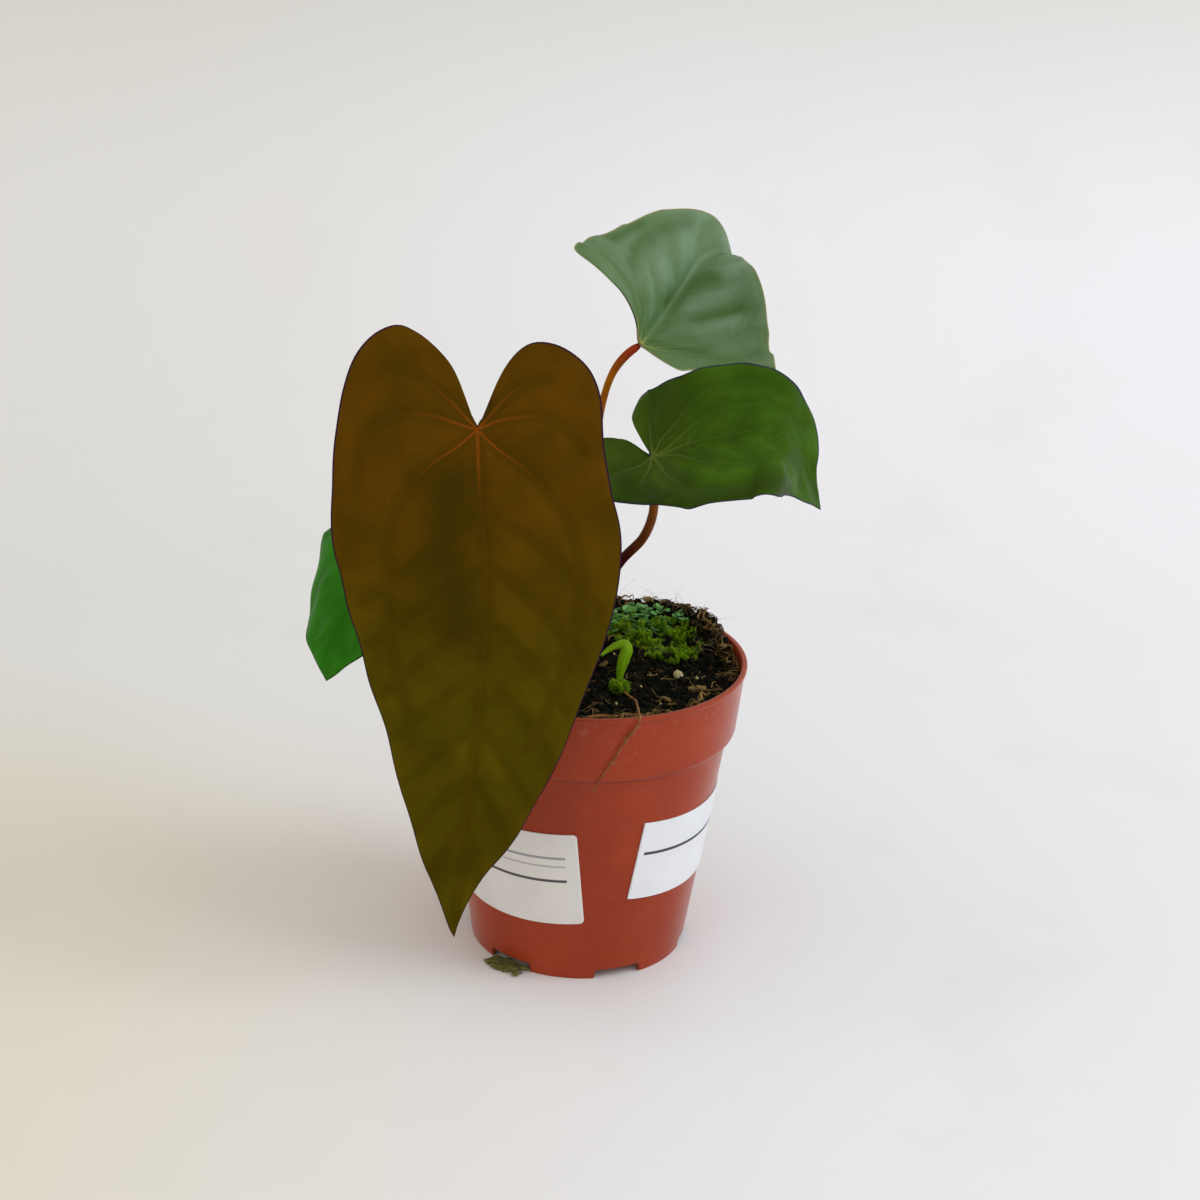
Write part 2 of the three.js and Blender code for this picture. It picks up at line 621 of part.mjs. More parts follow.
// The bent sheet of a leaf: a point (x, y) of the flat leaf in space, and the direction that its
// upper face looks in there.
function bentSheet(leaf) {
  const curve = new THREE.CatmullRomCurve3(leaf.midrib.map((p) => new THREE.Vector3(...p)), false, 'centripetal');
  const samples = 240;
  curve.arcLengthDivisions = samples;
  const length = curve.getLength();
  const points = curve.getSpacedPoints(samples);
  const junction = new THREE.Vector3(...leaf.midrib[leaf.junction]);
  let nearest = 0;
  points.forEach((p, i) => {
    if (p.distanceTo(junction) < points[nearest].distanceTo(junction)) nearest = i;
  });
  const start = (nearest / samples) * length;
  const frameAt = (y) => {
    const share = (start + y) / length;
    const within = THREE.MathUtils.clamp(share, 0, 1);
    const along = curve.getTangentAt(within);
    const origin = curve.getPointAt(within).addScaledVector(along, (share - within) * length);
    const side = new THREE.Vector3(...[1, 2, 3].map((column) => atDistance(leaf.sides, y, column)));
    side.addScaledVector(along, -side.dot(along)).normalize();
    return { origin, side, up: new THREE.Vector3().crossVectors(side, along) };
  };
  // Across the midrib the sheet's angle is fold x (1 - e^(-d / foldWidth)) + curl x d, summed in steps.
  return (x, y) => {
    const { origin, side, up } = frameAt(y);
    const column = x < 0 ? 1 : 2;
    const fold = radians(atDistance(leaf.fold, y, column));
    const curl = radians(atDistance(leaf.curl, y, column)) / 10;
    const distance = Math.abs(x);
    const steps = 12;
    let across = 0;
    let rise = 0;
    for (let i = 0; i < steps; i += 1) {
      const d = ((i + 0.5) / steps) * distance;
      const angle = fold * (1 - Math.exp(-d / leaf.foldWidth)) + curl * d;
      across += (Math.cos(angle) * distance) / steps;
      rise += (Math.sin(angle) * distance) / steps;
    }
    const edgeAngle = fold * (1 - Math.exp(-distance / leaf.foldWidth)) + curl * distance;
    const sign = x < 0 ? -1 : 1;
    const point = origin.clone().addScaledVector(side, sign * across).addScaledVector(up, rise);
    const normal = up.clone().multiplyScalar(Math.cos(edgeAngle)).addScaledVector(side, -sign * Math.sin(edgeAngle));
    return { point, normal };
  };
}

// The flat outline, from the sinus round the right half to the tip and back along the left half, as
// the given number of points.
function flatOutline(leaf) {
  const half = leaf.spokes / 2;
  const side = (rows, sign) => {
    const points = [[0, -1.5], ...rows, [0, leaf.tip]].map(([x, y]) => new THREE.Vector3(sign * x, y, 0));
    return new THREE.CatmullRomCurve3(points, false, 'centripetal').getSpacedPoints(half);
  };
  const right = side(leaf.right, 1);
  const left = side(leaf.left, -1);
  return [...right, ...left.slice(1, -1).reverse()];
}

function bladeGeometry(leaf) {
  const sheet = bentSheet(leaf);
  const outline = flatOutline(leaf);
  const around = outline.length;
  const [height, phase, wave] = leaf.ripple;
  const faces = [[], []];
  const place = (x, y, share) => {
    const { point, normal } = sheet(x, y);
    const ripple = height * share ** 3 * Math.sin((2 * Math.PI * y) / wave + phase + (x < 0 ? 2 : 0));
    point.addScaledVector(normal, Math.abs(x) < 0.01 ? 0 : ripple);
    const rib = Math.abs(x) < 0.01 && y >= 0 ? 1 - y / leaf.tip : 0;
    const thickness = BLADE_THICKNESS * (1 + 1.1 * rib);
    faces[0].push(point);
    faces[1].push(point.clone().addScaledVector(normal, -thickness));
  };
  place(0, 0, 0);
  BLADE_RINGS.forEach((share) => outline.forEach((p) => place(p.x * share, p.y * share, share)));
  const positions = [];
  faces.forEach((face) => face.forEach((p) => positions.push(p.x, p.y, p.z)));
  const under = faces[0].length;
  const triangles = [];
  // Seen from above the outline runs anticlockwise on the upper face.
  const both = (a, b, c) => triangles.push(a, b, c, under + a, under + c, under + b);
  const at = (ring, k) => 1 + ring * around + (k % around);
  for (let k = 0; k < around; k += 1) both(0, at(0, k), at(0, k + 1));
  for (let ring = 0; ring + 1 < BLADE_RINGS.length; ring += 1) {
    for (let k = 0; k < around; k += 1) {
      both(at(ring, k), at(ring + 1, k), at(ring + 1, k + 1));
      both(at(ring, k), at(ring + 1, k + 1), at(ring, k + 1));
    }
  }
  const rim = BLADE_RINGS.length - 1;
  for (let k = 0; k < around; k += 1) {
    const a = at(rim, k);
    const b = at(rim, k + 1);
    triangles.push(a, under + a, under + b, a, under + b, b);
  }
  return geometryOf(positions, triangles);
}

// Petioles

function petioleGeometry(petiole) {
  const leaf = LEAVES[petiole.leaf];
  const { point, normal } = bentSheet(leaf)(0, 0);
  const ribDepth = BLADE_THICKNESS * 2.1;
  const end = point.clone().addScaledVector(normal, -(ribDepth + petiole.short));
  const [x, y] = socketCentre(petiole.socket);
  const foot = CROWN.top - CROWN.socketDepth + CLEARANCE;
  const route = [[x, y, foot], [x, y, CROWN.top + 1], ...petiole.route, end.toArray()];
  const [low, middle, joint] = petiole.radii;
  const radiusAt = (share) => {
    const taper = share < 0.75 ? low + (middle - low) * (share / 0.75) : middle;
    const swell = (joint - middle) * Math.exp(-(((share - 0.94) / 0.05) ** 2));
    const close = share > 0.985 ? 0.75 : 1;
    return (taper + Math.max(0, swell)) * close;
  };
  return stem(route, radiusAt, { sides: 8, steps: 26 });
}

// Roots and debris

// A root that leaves the soil, crosses the rim and hangs down the collar.
const ROOT_OVER_RIM = [
  [13.8, -26.6, 112.6], [16.2, -32.6, 113.2], [17.8, -38.1, 114.5], [18.8, -48.9, 116], [19.3, -55, 116.5],
  [19.6, -57.3, 116.3], [19.4, -58.2, 115], [18.5, -57.5, 112.4], [15.6, -57.7, 108.6], [12, -57.9, 101.8],
  [8.3, -57.8, 95.1], [5.6, -57.6, 90], [4, -57.3, 85.8],
];

function rimRootsGeometry() {
  const random = seeded(23);
  const parts = [];
  for (let i = 0; i < 5; i += 1) {
    const azimuth = 10 + 10 * i;
    const route = Array.from({ length: 5 }, (_, k) => {
      const turn = radians(azimuth + (k - 2) * (9 + 3 * random()));
      const reach = 51.5 + 2.8 * Math.sin(k * 1.3 + i);
      const x = reach * Math.cos(turn);
      const y = reach * Math.sin(turn);
      return [x, y, soilHeight(x, y) + 1.25 + 0.45 * Math.sin(2.1 * k + i)];
    });
    parts.push(stem(route, (share) => 0.55 - 0.25 * share, { sides: 4, steps: 6 }));
  }
  return fused(parts);
}

// Moss and root scraps that grow out under the foot of the pot.
function footMossGeometry() {
  const random = seeded(3);
  const azimuth = radians(NOTCH.firstAzimuth - 360 / NOTCH.count);
  const parts = [];
  for (let i = 0; i < 9; i += 1) {
    const turn = azimuth + (random() - 0.5) * 0.2;
    const reach = 42.6 + 5 * random();
    const size = 1 + 0.7 * random();
    parts.push(lump(random, [reach * Math.sin(turn), -reach * Math.cos(turn), 1.5], [size * 1.7, size * 1.4, 1.2]));
  }
  const width = NOTCH.width - NOTCH.taper - 2 * CLEARANCE;
  const slab = new THREE.BoxGeometry(width, 7, 1.2).translate(0, -43.5, 1).rotateZ(azimuth);
  parts.push(slab);
  return fused(parts);
}

// Assembly

const plant = new THREE.Group();
const soil = soilGeometry();
plant.add(
  piece('pot', potGeometry(), COLOURS.pot, 0.55),
  piece('label_left', labelGeometry(LABEL_LEFT), COLOURS.label, 0.6),
  piece('label_right', labelGeometry(LABEL_RIGHT), COLOURS.label, 0.6),
  piece('soil', soil, COLOURS.soil, 0.95),
  piece('crown', crownGeometry(), COLOURS.crown),
);
Object.entries(PETIOLES).forEach(([name, petiole]) => plant.add(piece(name, petioleGeometry(petiole), COLOURS.petiole, 0.5)));
Object.entries(LEAVES).forEach(([name, leaf]) => plant.add(piece(name, bladeGeometry(leaf), leaf.colour, 0.45)));
plant.add(
  piece('new_shoot', stem(
    SHOOT.route,
    (share) => atDistance(SHOOT.widths.map((w, i) => [i / (SHOOT.widths.length - 1), w]), share, 1),
    { sides: 10, steps: 20, flatness: SHOOT.flatness },
  ), COLOURS.shoot, 0.5),
  piece('liverwort', seated(liverwortGeometry(), soil), COLOURS.liverwort, 0.7),
  piece('moss_cushion', seated(mossGeometry(PATCHES.moss_cushion, 12, 7, 2.3), soil), COLOURS.moss, 0.9),
  piece('moss_clump', seated(mossGeometry(PATCHES.moss_clump, 7, 9, 1.4), soil), COLOURS.moss, 0.9),
  piece('root_over_rim', stem(ROOT_OVER_RIM, (share) => 0.5 - 0.25 * share, { sides: 6, steps: 26 }), COLOURS.root, 0.9),
  piece('rim_roots', seated(rimRootsGeometry(), soil), COLOURS.root, 0.9),
  piece('foot_moss', footMossGeometry(), COLOURS.moss, 0.9),
);

export default plant;
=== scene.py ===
"""A potted anthurium: its pot, labels, peat, moss, roots, petioles and leaves, dressed for the eye.

Lengths are in millimetres in the row frame (+Z up, origin under the middle of the pot, front at -Y)
and become metres when a mesh is made.
"""

import logging
import math
from dataclasses import dataclass, field
from enum import Enum

import bpy
import numpy as np
from mathutils import Matrix, Vector


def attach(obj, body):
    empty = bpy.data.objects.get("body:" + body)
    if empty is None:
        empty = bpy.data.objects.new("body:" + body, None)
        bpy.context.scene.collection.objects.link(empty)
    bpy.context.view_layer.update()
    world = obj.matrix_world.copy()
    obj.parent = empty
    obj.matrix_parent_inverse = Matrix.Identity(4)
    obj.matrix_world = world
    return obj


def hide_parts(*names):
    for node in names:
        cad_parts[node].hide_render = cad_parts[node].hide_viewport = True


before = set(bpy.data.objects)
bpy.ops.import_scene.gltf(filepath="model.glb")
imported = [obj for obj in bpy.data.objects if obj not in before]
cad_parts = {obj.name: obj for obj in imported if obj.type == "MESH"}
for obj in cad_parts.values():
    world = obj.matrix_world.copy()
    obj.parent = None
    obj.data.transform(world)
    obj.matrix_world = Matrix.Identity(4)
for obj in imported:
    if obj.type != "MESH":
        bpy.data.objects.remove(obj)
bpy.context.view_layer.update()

MM = 0.001
BODY = "root"
LOG = logging.getLogger("potted_anthurium")
Array = np.ndarray


# Sizes shared by several pieces

@dataclass(frozen=True)
class PotSize:
    """The pot's section, in millimetres."""

    rim_radius: float = 60.0
    rim_inner_radius: float = 58.0
    bead_height: float = 1.9
    height: float = 115.6
    base_radius: float = 41.4
    shoulder_radius: float = 54.1
    shoulder_height: float = 88.6
    collar_foot_radius: float = 57.0
    collar_top_radius: float = 59.3
    wall: float = 1.4
    foot_height: float = 4.0
    foot_width: float = 1.6
    pad_radius: float = 16.0
    notches: int = 6
    notch_azimuth: float = 23.0
    notch_width: float = 19.0

    @property
    def half_angle(self) -> float:
        """The angle between the plain wall and the pot's axis."""
        return math.atan((self.shoulder_radius - self.base_radius) / self.shoulder_height)


POT = PotSize()
SOIL_LEVEL = 111.0
SOIL_RADIUS = 57.35
# Each mound of soil: centre x, y, rise and spread.
MOUNDS = np.array([
    [26, 38, 3.2, 17], [46, 30, 7.6, 8], [33, 45, 5.2, 9], [8, 52, 3.6, 13], [-22, 42, 2.6, 14],
    [-4, 6, 1.6, 12], [42, -22, 1.6, 9], [10, -38, 1.2, 12], [40, 8, -2.4, 9],
], float)
CROWN_XY = np.array([-3.0, 5.0])
CROWN_FOOT, CROWN_TOP, CROWN_RADIUS = 101.0, 125.0, 7.5
SOCKET_REACH, SOCKET_DEPTH = 3.9, 5.0
# The angle between one leaf of a spiral and the next, in radians, which is near the golden angle.
SPIRAL_STEP = 2.4
# Samples between two points of a curve.
CURVE_STEPS = 24


# Small tools

def unit(vectors: Array) -> Array:
    """Vectors scaled to length one."""
    return vectors / np.maximum(np.linalg.norm(vectors, axis=-1, keepdims=True), 1e-9)


def smooth(low: float, high: float, value: Array) -> Array:
    """0 below low, 1 above high and a smooth step between."""
    t = np.clip((np.asarray(value, float) - low) / (high - low), 0, 1)
    return t * t * (3 - 2 * t)


def lattice(cells: Array, seed: int) -> Array:
    """A repeatable number from 0 to 1 for each whole-number cell.

    Args:
        cells: Whole numbers, with x, y and z in the last axis.
        seed: Picks another set of numbers.

    Returns:
        One number per cell.
    """
    c = cells.astype(np.int64)
    mixed = (c[..., 0] * 374761393 + c[..., 1] * 668265263 + c[..., 2] * 2147483647 + seed * 974634777)
    mixed = (mixed ^ (mixed >> 13)) * 1274126177
    mixed = mixed ^ (mixed >> 16)
    return (mixed & 0xFFFFFF) / float(0xFFFFFF)


def noise(points: Array, seed: int = 0) -> Array:
    """Smooth value noise: the eight corners of each cell blended by a smooth step along each axis.

    Args:
        points: Places, with x, y and z in the last axis, in cells.
        seed: Picks another noise.

    Returns:
        Values from -1 to 1.
    """
    base = np.floor(points)
    t = points - base
    t = t * t * (3 - 2 * t)
    total = np.zeros(points.shape[:-1])
    for corner in range(8):
        step = np.array([corner & 1, (corner >> 1) & 1, (corner >> 2) & 1])
        weight = np.prod(np.where(step == 1, t, 1 - t), axis=-1)
        total += weight * lattice(base + step, seed)
    return 2 * total - 1


def cloud(points: Array, octaves: int = 4, seed: int = 0) -> Array:
    """Layers of noise, each twice as fine and half as strong as the last.

    Args:
        points: Places, with x, y and z in the last axis, in cells of the coarsest layer.
        octaves: How many layers.
        seed: Picks another cloud.

    Returns:
        Values of about -1 to 1.
    """
    total = np.zeros(points.shape[:-1])
    for octave in range(octaves):
        total += noise(points * 2 ** octave + 17.3 * octave, seed + octave) * 0.5 ** octave
    return total / 1.6


def soft_curve(points: Array, steps: int = CURVE_STEPS) -> Array:
    """A centripetal Catmull-Rom curve through points, with mirrored end points.

    Args:
        points: The points that the curve passes, one per row.
        steps: Samples between two points.

    Returns:
        The samples, one per row.
    """
    p = np.asarray(points, float)
    q = np.vstack([2 * p[0] - p[1], p, 2 * p[-1] - p[-2]])
    pieces = []
    for i in range(1, len(q) - 2):
        p0, p1, p2, p3 = q[i - 1:i + 3]
        t1 = math.sqrt(np.linalg.norm(p1 - p0))
        t2 = t1 + math.sqrt(np.linalg.norm(p2 - p1))
        t3 = t2 + math.sqrt(np.linalg.norm(p3 - p2))
        t = np.linspace(t1, t2, steps, endpoint=False)[:, None]
        a1 = (t1 - t) / t1 * p0 + t / t1 * p1
        a2 = (t2 - t) / (t2 - t1) * p1 + (t - t1) / (t2 - t1) * p2
        a3 = (t3 - t) / (t3 - t2) * p2 + (t - t2) / (t3 - t2) * p3
        b1 = (t2 - t) / t2 * a1 + t / t2 * a2
        b2 = (t3 - t) / (t3 - t1) * a2 + (t - t1) / (t3 - t1) * a3
        pieces.append((t2 - t) / (t2 - t1) * b1 + (t - t1) / (t2 - t1) * b2)
    pieces.append(p[-1][None])
    return np.vstack(pieces)


def evenly(points: Array, count: int) -> Array:
    """A line cut into pieces of equal length.

    Args:
        points: The line's points, one per row.
        count: How many points to give.

    Returns:
        Points at equal distances along the line.
    """
    length = np.concatenate([[0], np.cumsum(np.linalg.norm(np.diff(points, axis=0), axis=1))])
    at = np.linspace(0, length[-1], count)
    return np.stack([np.interp(at, length, points[:, k]) for k in range(points.shape[1])], -1)


def soil_height(x: Array, y: Array) -> Array:
    """The soil's level: its mounds, each a bell curve, and a slight wave.

    Args:
        x: Places across.
        y: Places to the back.

    Returns:
        Heights in millimetres.
    """
    x, y = np.asarray(x, float)[..., None], np.asarray(y, float)[..., None]
    apart = (x - MOUNDS[:, 0]) ** 2 + (y - MOUNDS[:, 1]) ** 2
    bells = MOUNDS[:, 2] * np.exp(-apart / (2 * MOUNDS[:, 3] ** 2))
    wave = 0.35 * np.sin(x[..., 0] / 5.3 + 1) * np.cos(y[..., 0] / 4.7)
    return SOIL_LEVEL + bells.sum(-1) + wave


class Shape:
    """Points and faces gathered for one mesh, with a value of each attribute per point."""

    def __init__(self) -> None:
        """Starts empty."""
        self.points: list[Array] = []
        self.quads: list[Array] = []
        self.triangles: list[Array] = []
        self.values: dict[str, list[Array]] = {}
        self.count = 0

    def add(self, points: Array, quads: Array | None = None, triangles: Array | None = None,
            **values: Array) -> None:
        """Adds points and the faces between them.

        Args:
            points: Places in millimetres, one per row.
            quads: Four point numbers per row.
            triangles: Three point numbers per row.
            values: For each attribute, a number or a vector per point.
        """
        points = np.asarray(points, float).reshape(-1, 3)
        if quads is not None and len(quads):
            self.quads.append(np.asarray(quads, np.int64).reshape(-1, 4) + self.count)
        if triangles is not None and len(triangles):
            self.triangles.append(np.asarray(triangles, np.int64).reshape(-1, 3) + self.count)
        for name, value in values.items():
            value = np.asarray(value, float)
            self.values.setdefault(name, []).append(value.reshape(len(points), -1))
        self.points.append(points)
        self.count += len(points)

    def make(self, name: str, creases: bool = False) -> bpy.types.Object:
        """Makes the mesh and its object, in metres.

        Args:
            name: The object's name.
            creases: Whether its faces stay flat instead of smooth.

        Returns:
            The new object, at the origin.
        """
        points = np.vstack(self.points) * MM
        quads = np.vstack(self.quads) if self.quads else np.zeros((0, 4), np.int64)
        triangles = np.vstack(self.triangles) if self.triangles else np.zeros((0, 3), np.int64)
        corners = np.concatenate([quads.ravel(), triangles.ravel()])
        sizes = np.concatenate([np.full(len(quads), 4), np.full(len(triangles), 3)])
        starts = np.concatenate([[0], np.cumsum(sizes)[:-1]])
        mesh = bpy.data.meshes.new(name)
        mesh.vertices.add(len(points))
        mesh.vertices.foreach_set("co", points.ravel().astype(np.float32))
        mesh.loops.add(len(corners))
        mesh.loops.foreach_set("vertex_index", corners.astype(np.int32))
        mesh.polygons.add(len(sizes))
        mesh.polygons.foreach_set("loop_start", starts.astype(np.int32))
        mesh.polygons.foreach_set("use_smooth", np.full(len(sizes), not creases))
        mesh.update(calc_edges=True)
        mesh.validate()
        for key, parts in self.values.items():
            value = np.vstack(parts)
            if value.shape[1] == 2:
                layer = mesh.uv_layers.new(name=key)
                layer.data.foreach_set("uv", value[corners].ravel().astype(np.float32))
            else:
                layer = mesh.attributes.new(key, "FLOAT", "POINT")
                layer.data.foreach_set("value", value[:, 0].astype(np.float32))
        thing = bpy.data.objects.new(name, mesh)
        bpy.context.scene.collection.objects.link(thing)
        return thing


def grid_quads(rows: int, columns: int, round_columns: bool = False) -> Array:
    """The quads of a grid of points, row after row.

    Args:
        rows: How many rows.
        columns: How many points a row has.
        round_columns: Whether each row's last point joins its first.

    Returns:
        Four point numbers per quad.
    """
    r = np.arange(rows - 1)[:, None]
    c = np.arange(columns if round_columns else columns - 1)[None]
    r2, c2 = r + 1, (c + 1) % columns
    corners = [r * columns + c, r * columns + c2, r2 * columns + c2, r2 * columns + c]
    return np.stack([np.broadcast_to(k, (r.shape[0], c.shape[1])) for k in corners], -1).reshape(-1, 4)


def end_fans(rows: int, columns: int, first: int) -> Array:
    """The triangles that close a round grid's first and last row, each on a further point.

    Args:
        rows: How many rows.
        columns: How many points a row has.
        first: The number of the point that closes the first row. The last row's point comes next.

    Returns:
        Three point numbers per triangle.
    """
    k = np.arange(columns)
    after, last = (k + 1) % columns, (rows - 1) * columns
    return np.concatenate([np.stack([np.full(columns, first), after, k], -1),
                           np.stack([np.full(columns, first + 1), last + k, last + after], -1)])


def shade_of(tone: tuple, share: float) -> tuple:
    """A darker shade of a colour."""
    return (*(c * share for c in tone[:3]), 1.0)


def add_tubes(shape: Shape, paths: Array, radii: Array, sides: int = 6, flat: float = 1.0,
              facing: Array | None = None, **values: Array) -> None:
    """Adds closed tubes. A ring at a path's point lies across its tangent, turned so that its first
    direction stays square to a reference direction, and each end closes on one point.

    Args:
        shape: Where the tubes go.
        paths: Tube, step and x, y, z.
        radii: Tube and step.
        sides: Points round a ring.
        flat: The section's height as a share of its width.
        facing: For each tube and step, the direction that the flat side faces.
        values: For each attribute, a value per tube and step, or fewer that all of them share.
    """
    paths = np.asarray(paths, float)
    radii = np.broadcast_to(np.asarray(radii, float), paths.shape[:2])
    tangents = unit(np.gradient(paths, axis=1))
    if facing is None:
        reference = unit(np.cross(paths[:, :1] - paths[:, -1:], [0.31, 0.52, 0.8]) + 1e-6)
        facing = np.broadcast_to(reference, paths.shape)
    side = unit(np.cross(tangents, facing))
    up = np.cross(side, tangents)
    turn = np.linspace(0, 2 * np.pi, sides, endpoint=False)
    ring = (np.cos(turn)[:, None] * side[:, :, None] + flat * np.sin(turn)[:, None] * up[:, :, None])
    points = paths[:, :, None] + radii[:, :, None, None] * ring
    tubes, steps = paths.shape[:2]
    quads = grid_quads(steps, sides, round_columns=True)
    fans = end_fans(steps, sides, steps * sides)
    ends = np.stack([paths[:, 0], paths[:, -1]], 1)
    every = np.concatenate([points.reshape(tubes, -1, 3), ends], 1)
    offset = (np.arange(tubes) * every.shape[1])[:, None, None]
    spread = {}
    for name, value in values.items():
        value = np.broadcast_to(np.asarray(value, float), (tubes, steps))
        around = np.repeat(value, sides, axis=1)
        spread[name] = np.concatenate([around, value[:, :1], value[:, -1:]], 1).ravel()
    shape.add(every, (quads[None] + offset)[..., ::-1], (fans[None] + offset)[..., ::-1], **spread)


def add_copies(shape: Shape, points: Array, faces: Array, turns: Array, places: Array,
               **values: Array) -> None:
    """Adds turned and placed copies of one small triangle mesh.

    Args:
        shape: Where the copies go.
        points: The small mesh's points, or one set of points per copy.
        faces: Its triangles.
        turns: One 3 by 3 matrix per copy, which may stretch it too.
        places: One place per copy.
        values: For each attribute, one value per copy.
    """
    points = np.broadcast_to(points, (len(places),) + np.asarray(points).shape[-2:])
    moved = np.einsum("nij,nvj->nvi", turns, points) + places[:, None]
    offset = (np.arange(len(places)) * points.shape[1])[:, None, None]
    spread = {name: np.repeat(np.asarray(value, float), points.shape[1]) for name, value in values.items()}
    shape.add(moved, None, np.asarray(faces)[None] + offset, **spread)


def random_turns(random: np.random.Generator, count: int) -> Array:
    """Matrices that turn a thing any way, from the QR split of random numbers.

    Args:
        random: The source of random numbers.
        count: How many matrices.

    Returns:
        An array of 3 by 3 matrices without mirroring.
    """
    turns, _ = np.linalg.qr(random.normal(size=(count, 3, 3)))
    turns[:, :, 0] *= np.sign(np.linalg.det(turns))[:, None]
    return turns


def dented(points: Array, count: int, depth: float, random: np.random.Generator, limit: float = 9.0) -> Array:
    """Copies of a small mesh's points, each pushed in or out at random by up to limit times depth."""
    return points[None] * (1 + depth * random.normal(size=(count, len(points), 1)).clip(-limit, limit))


def turned(spin: Array, lean: Array, axis: str) -> Array:
    """Matrices that lean a thing about one of its axes and then spin it about Z.

    Args:
        spin: Angles about Z.
        lean: Angles about the axis.
        axis: The axis to lean about.

    Returns:
        An array of 3 by 3 matrices.
    """
    pairs = zip(spin, lean)
    return np.array([Matrix.Rotation(s, 3, "Z") @ Matrix.Rotation(t, 3, axis) for s, t in pairs], float)


def ball(detail: int) -> tuple[Array, Array]:
    """A round ball of triangles: an octahedron whose faces are split and pushed out to radius one.

    Args:
        detail: How often each face is split in four.

    Returns:
        Its points and triangles, seen from outside anticlockwise.
    """
    points = [(1, 0, 0), (-1, 0, 0), (0, 1, 0), (0, -1, 0), (0, 0, 1), (0, 0, -1)]
    faces = [(0, 2, 4), (2, 1, 4), (1, 3, 4), (3, 0, 4), (2, 0, 5), (1, 2, 5), (3, 1, 5), (0, 3, 5)]
    points = [np.array(p, float) for p in points]
    for _ in range(detail):
        middles: dict[tuple[int, int], int] = {}
        split = []
        for a, b, c in faces:
            mids = []
            for p, q in ((a, b), (b, c), (c, a)):
                key = (min(p, q), max(p, q))
                if key not in middles:
                    middles[key] = len(points)
                    points.append(unit(points[p] + points[q]))
                mids.append(middles[key])
            split += [(a, mids[0], mids[2]), (b, mids[1], mids[0]), (c, mids[2], mids[1]), tuple(mids)]
        faces = split
    return np.array(points), np.array(faces)


# Node groups and finishes

Socket = bpy.types.NodeSocket


class Wiring:
    """Short ways to place and join nodes in one node tree."""

    def __init__(self, tree: bpy.types.NodeTree) -> None:
        """Keeps the tree."""
        self.tree = tree

    def put(self, value: object, socket: Socket) -> None:
        """Joins a socket to an input, or sets the input's own value.

        Args:
            value: A socket, a number or a colour.
            socket: The input.
        """
        if isinstance(value, bpy.types.NodeSocket):
            self.tree.links.new(value, socket)
        else:
            socket.default_value = value

    def node(self, kind: str, settings: dict | None = None, **inputs: object) -> bpy.types.Node:
        """Adds a node.

        Args:
            kind: The node's type name, without its first word.
            settings: Its properties.
            inputs: Its inputs, with spaces in their names written as underscores.

        Returns:
            The node.
        """
        made = self.tree.nodes.new("ShaderNode" + kind)
        for key, value in (settings or {}).items():
            setattr(made, key, value)
        for key, value in inputs.items():
            self.put(value, made.inputs[key.replace("_", " ")])
        return made

    def math(self, operation: str, a: object, b: object = 0.0, c: object = 0.0) -> Socket:
        """A Math node's result.

        Args:
            operation: Its operation.
            a: First input.
            b: Second input.
            c: Third input.

        Returns:
            The output socket.
        """
        made = self.node("Math", {"operation": operation})
        for value, socket in zip((a, b, c), made.inputs):
            self.put(value, socket)
        return made.outputs[0]

    def mix(self, share: object, a: object, b: object, blend: str = "MIX") -> Socket:
        """A colour mixed from two.

        Args:
            share: How much of the second.
            a: First colour.
            b: Second colour.
            blend: How they mix.

        Returns:
            The colour socket.
        """
        made = self.node("Mix", {"data_type": "RGBA", "blend_type": blend, "clamp_factor": True})
        self.put(share, made.inputs[0])
        self.put(a, made.inputs[6])
        self.put(b, made.inputs[7])
        return made.outputs[2]

    def span(self, value: object, low: float, high: float, to_low: float = 0.0,
             to_high: float = 1.0) -> Socket:
        """A value mapped smoothly from one span to another.

        Args:
            value: What is mapped.
            low: Start of its span.
            high: End of its span.
            to_low: Result at the start.
            to_high: Result at the end.

        Returns:
            The result socket.
        """
        made = self.node("MapRange", {"interpolation_type": "SMOOTHSTEP"})
        for number, entry in enumerate((value, low, high, to_low, to_high)):
            self.put(entry, made.inputs[number])
        return made.outputs[0]

    def attribute(self, name: str) -> Socket:
        """The number that a mesh holds per point under a name."""
        return self.node("Attribute", {"attribute_name": name}).outputs["Fac"]

    def place(self) -> Socket:
        """The point's place on the object, in metres."""
        return self.node("TexCoord").outputs["Object"]

    def speckle(self, where: object, scale: float, detail: float = 4.0, roughness: float = 0.55) -> Socket:
        """Cloudy noise."""
        made = self.node("TexNoise", None, Vector=where, Scale=scale, Detail=detail, Roughness=roughness)
        return made.outputs["Fac"]


def linear(red: float, green: float, blue: float) -> tuple[float, float, float, float]:
    """A screen colour as the renderer's own, by the screen's power curve.

    Args:
        red: From 0 to 255.
        green: From 0 to 255.
        blue: From 0 to 255.

    Returns:
        Red, green, blue and an opacity of 1.
    """
    shares = [c / 255 for c in (red, green, blue)]
    lit = [s / 12.92 if s <= 0.04045 else ((s + 0.055) / 1.055) ** 2.4 for s in shares]
    return (*lit, 1.0)


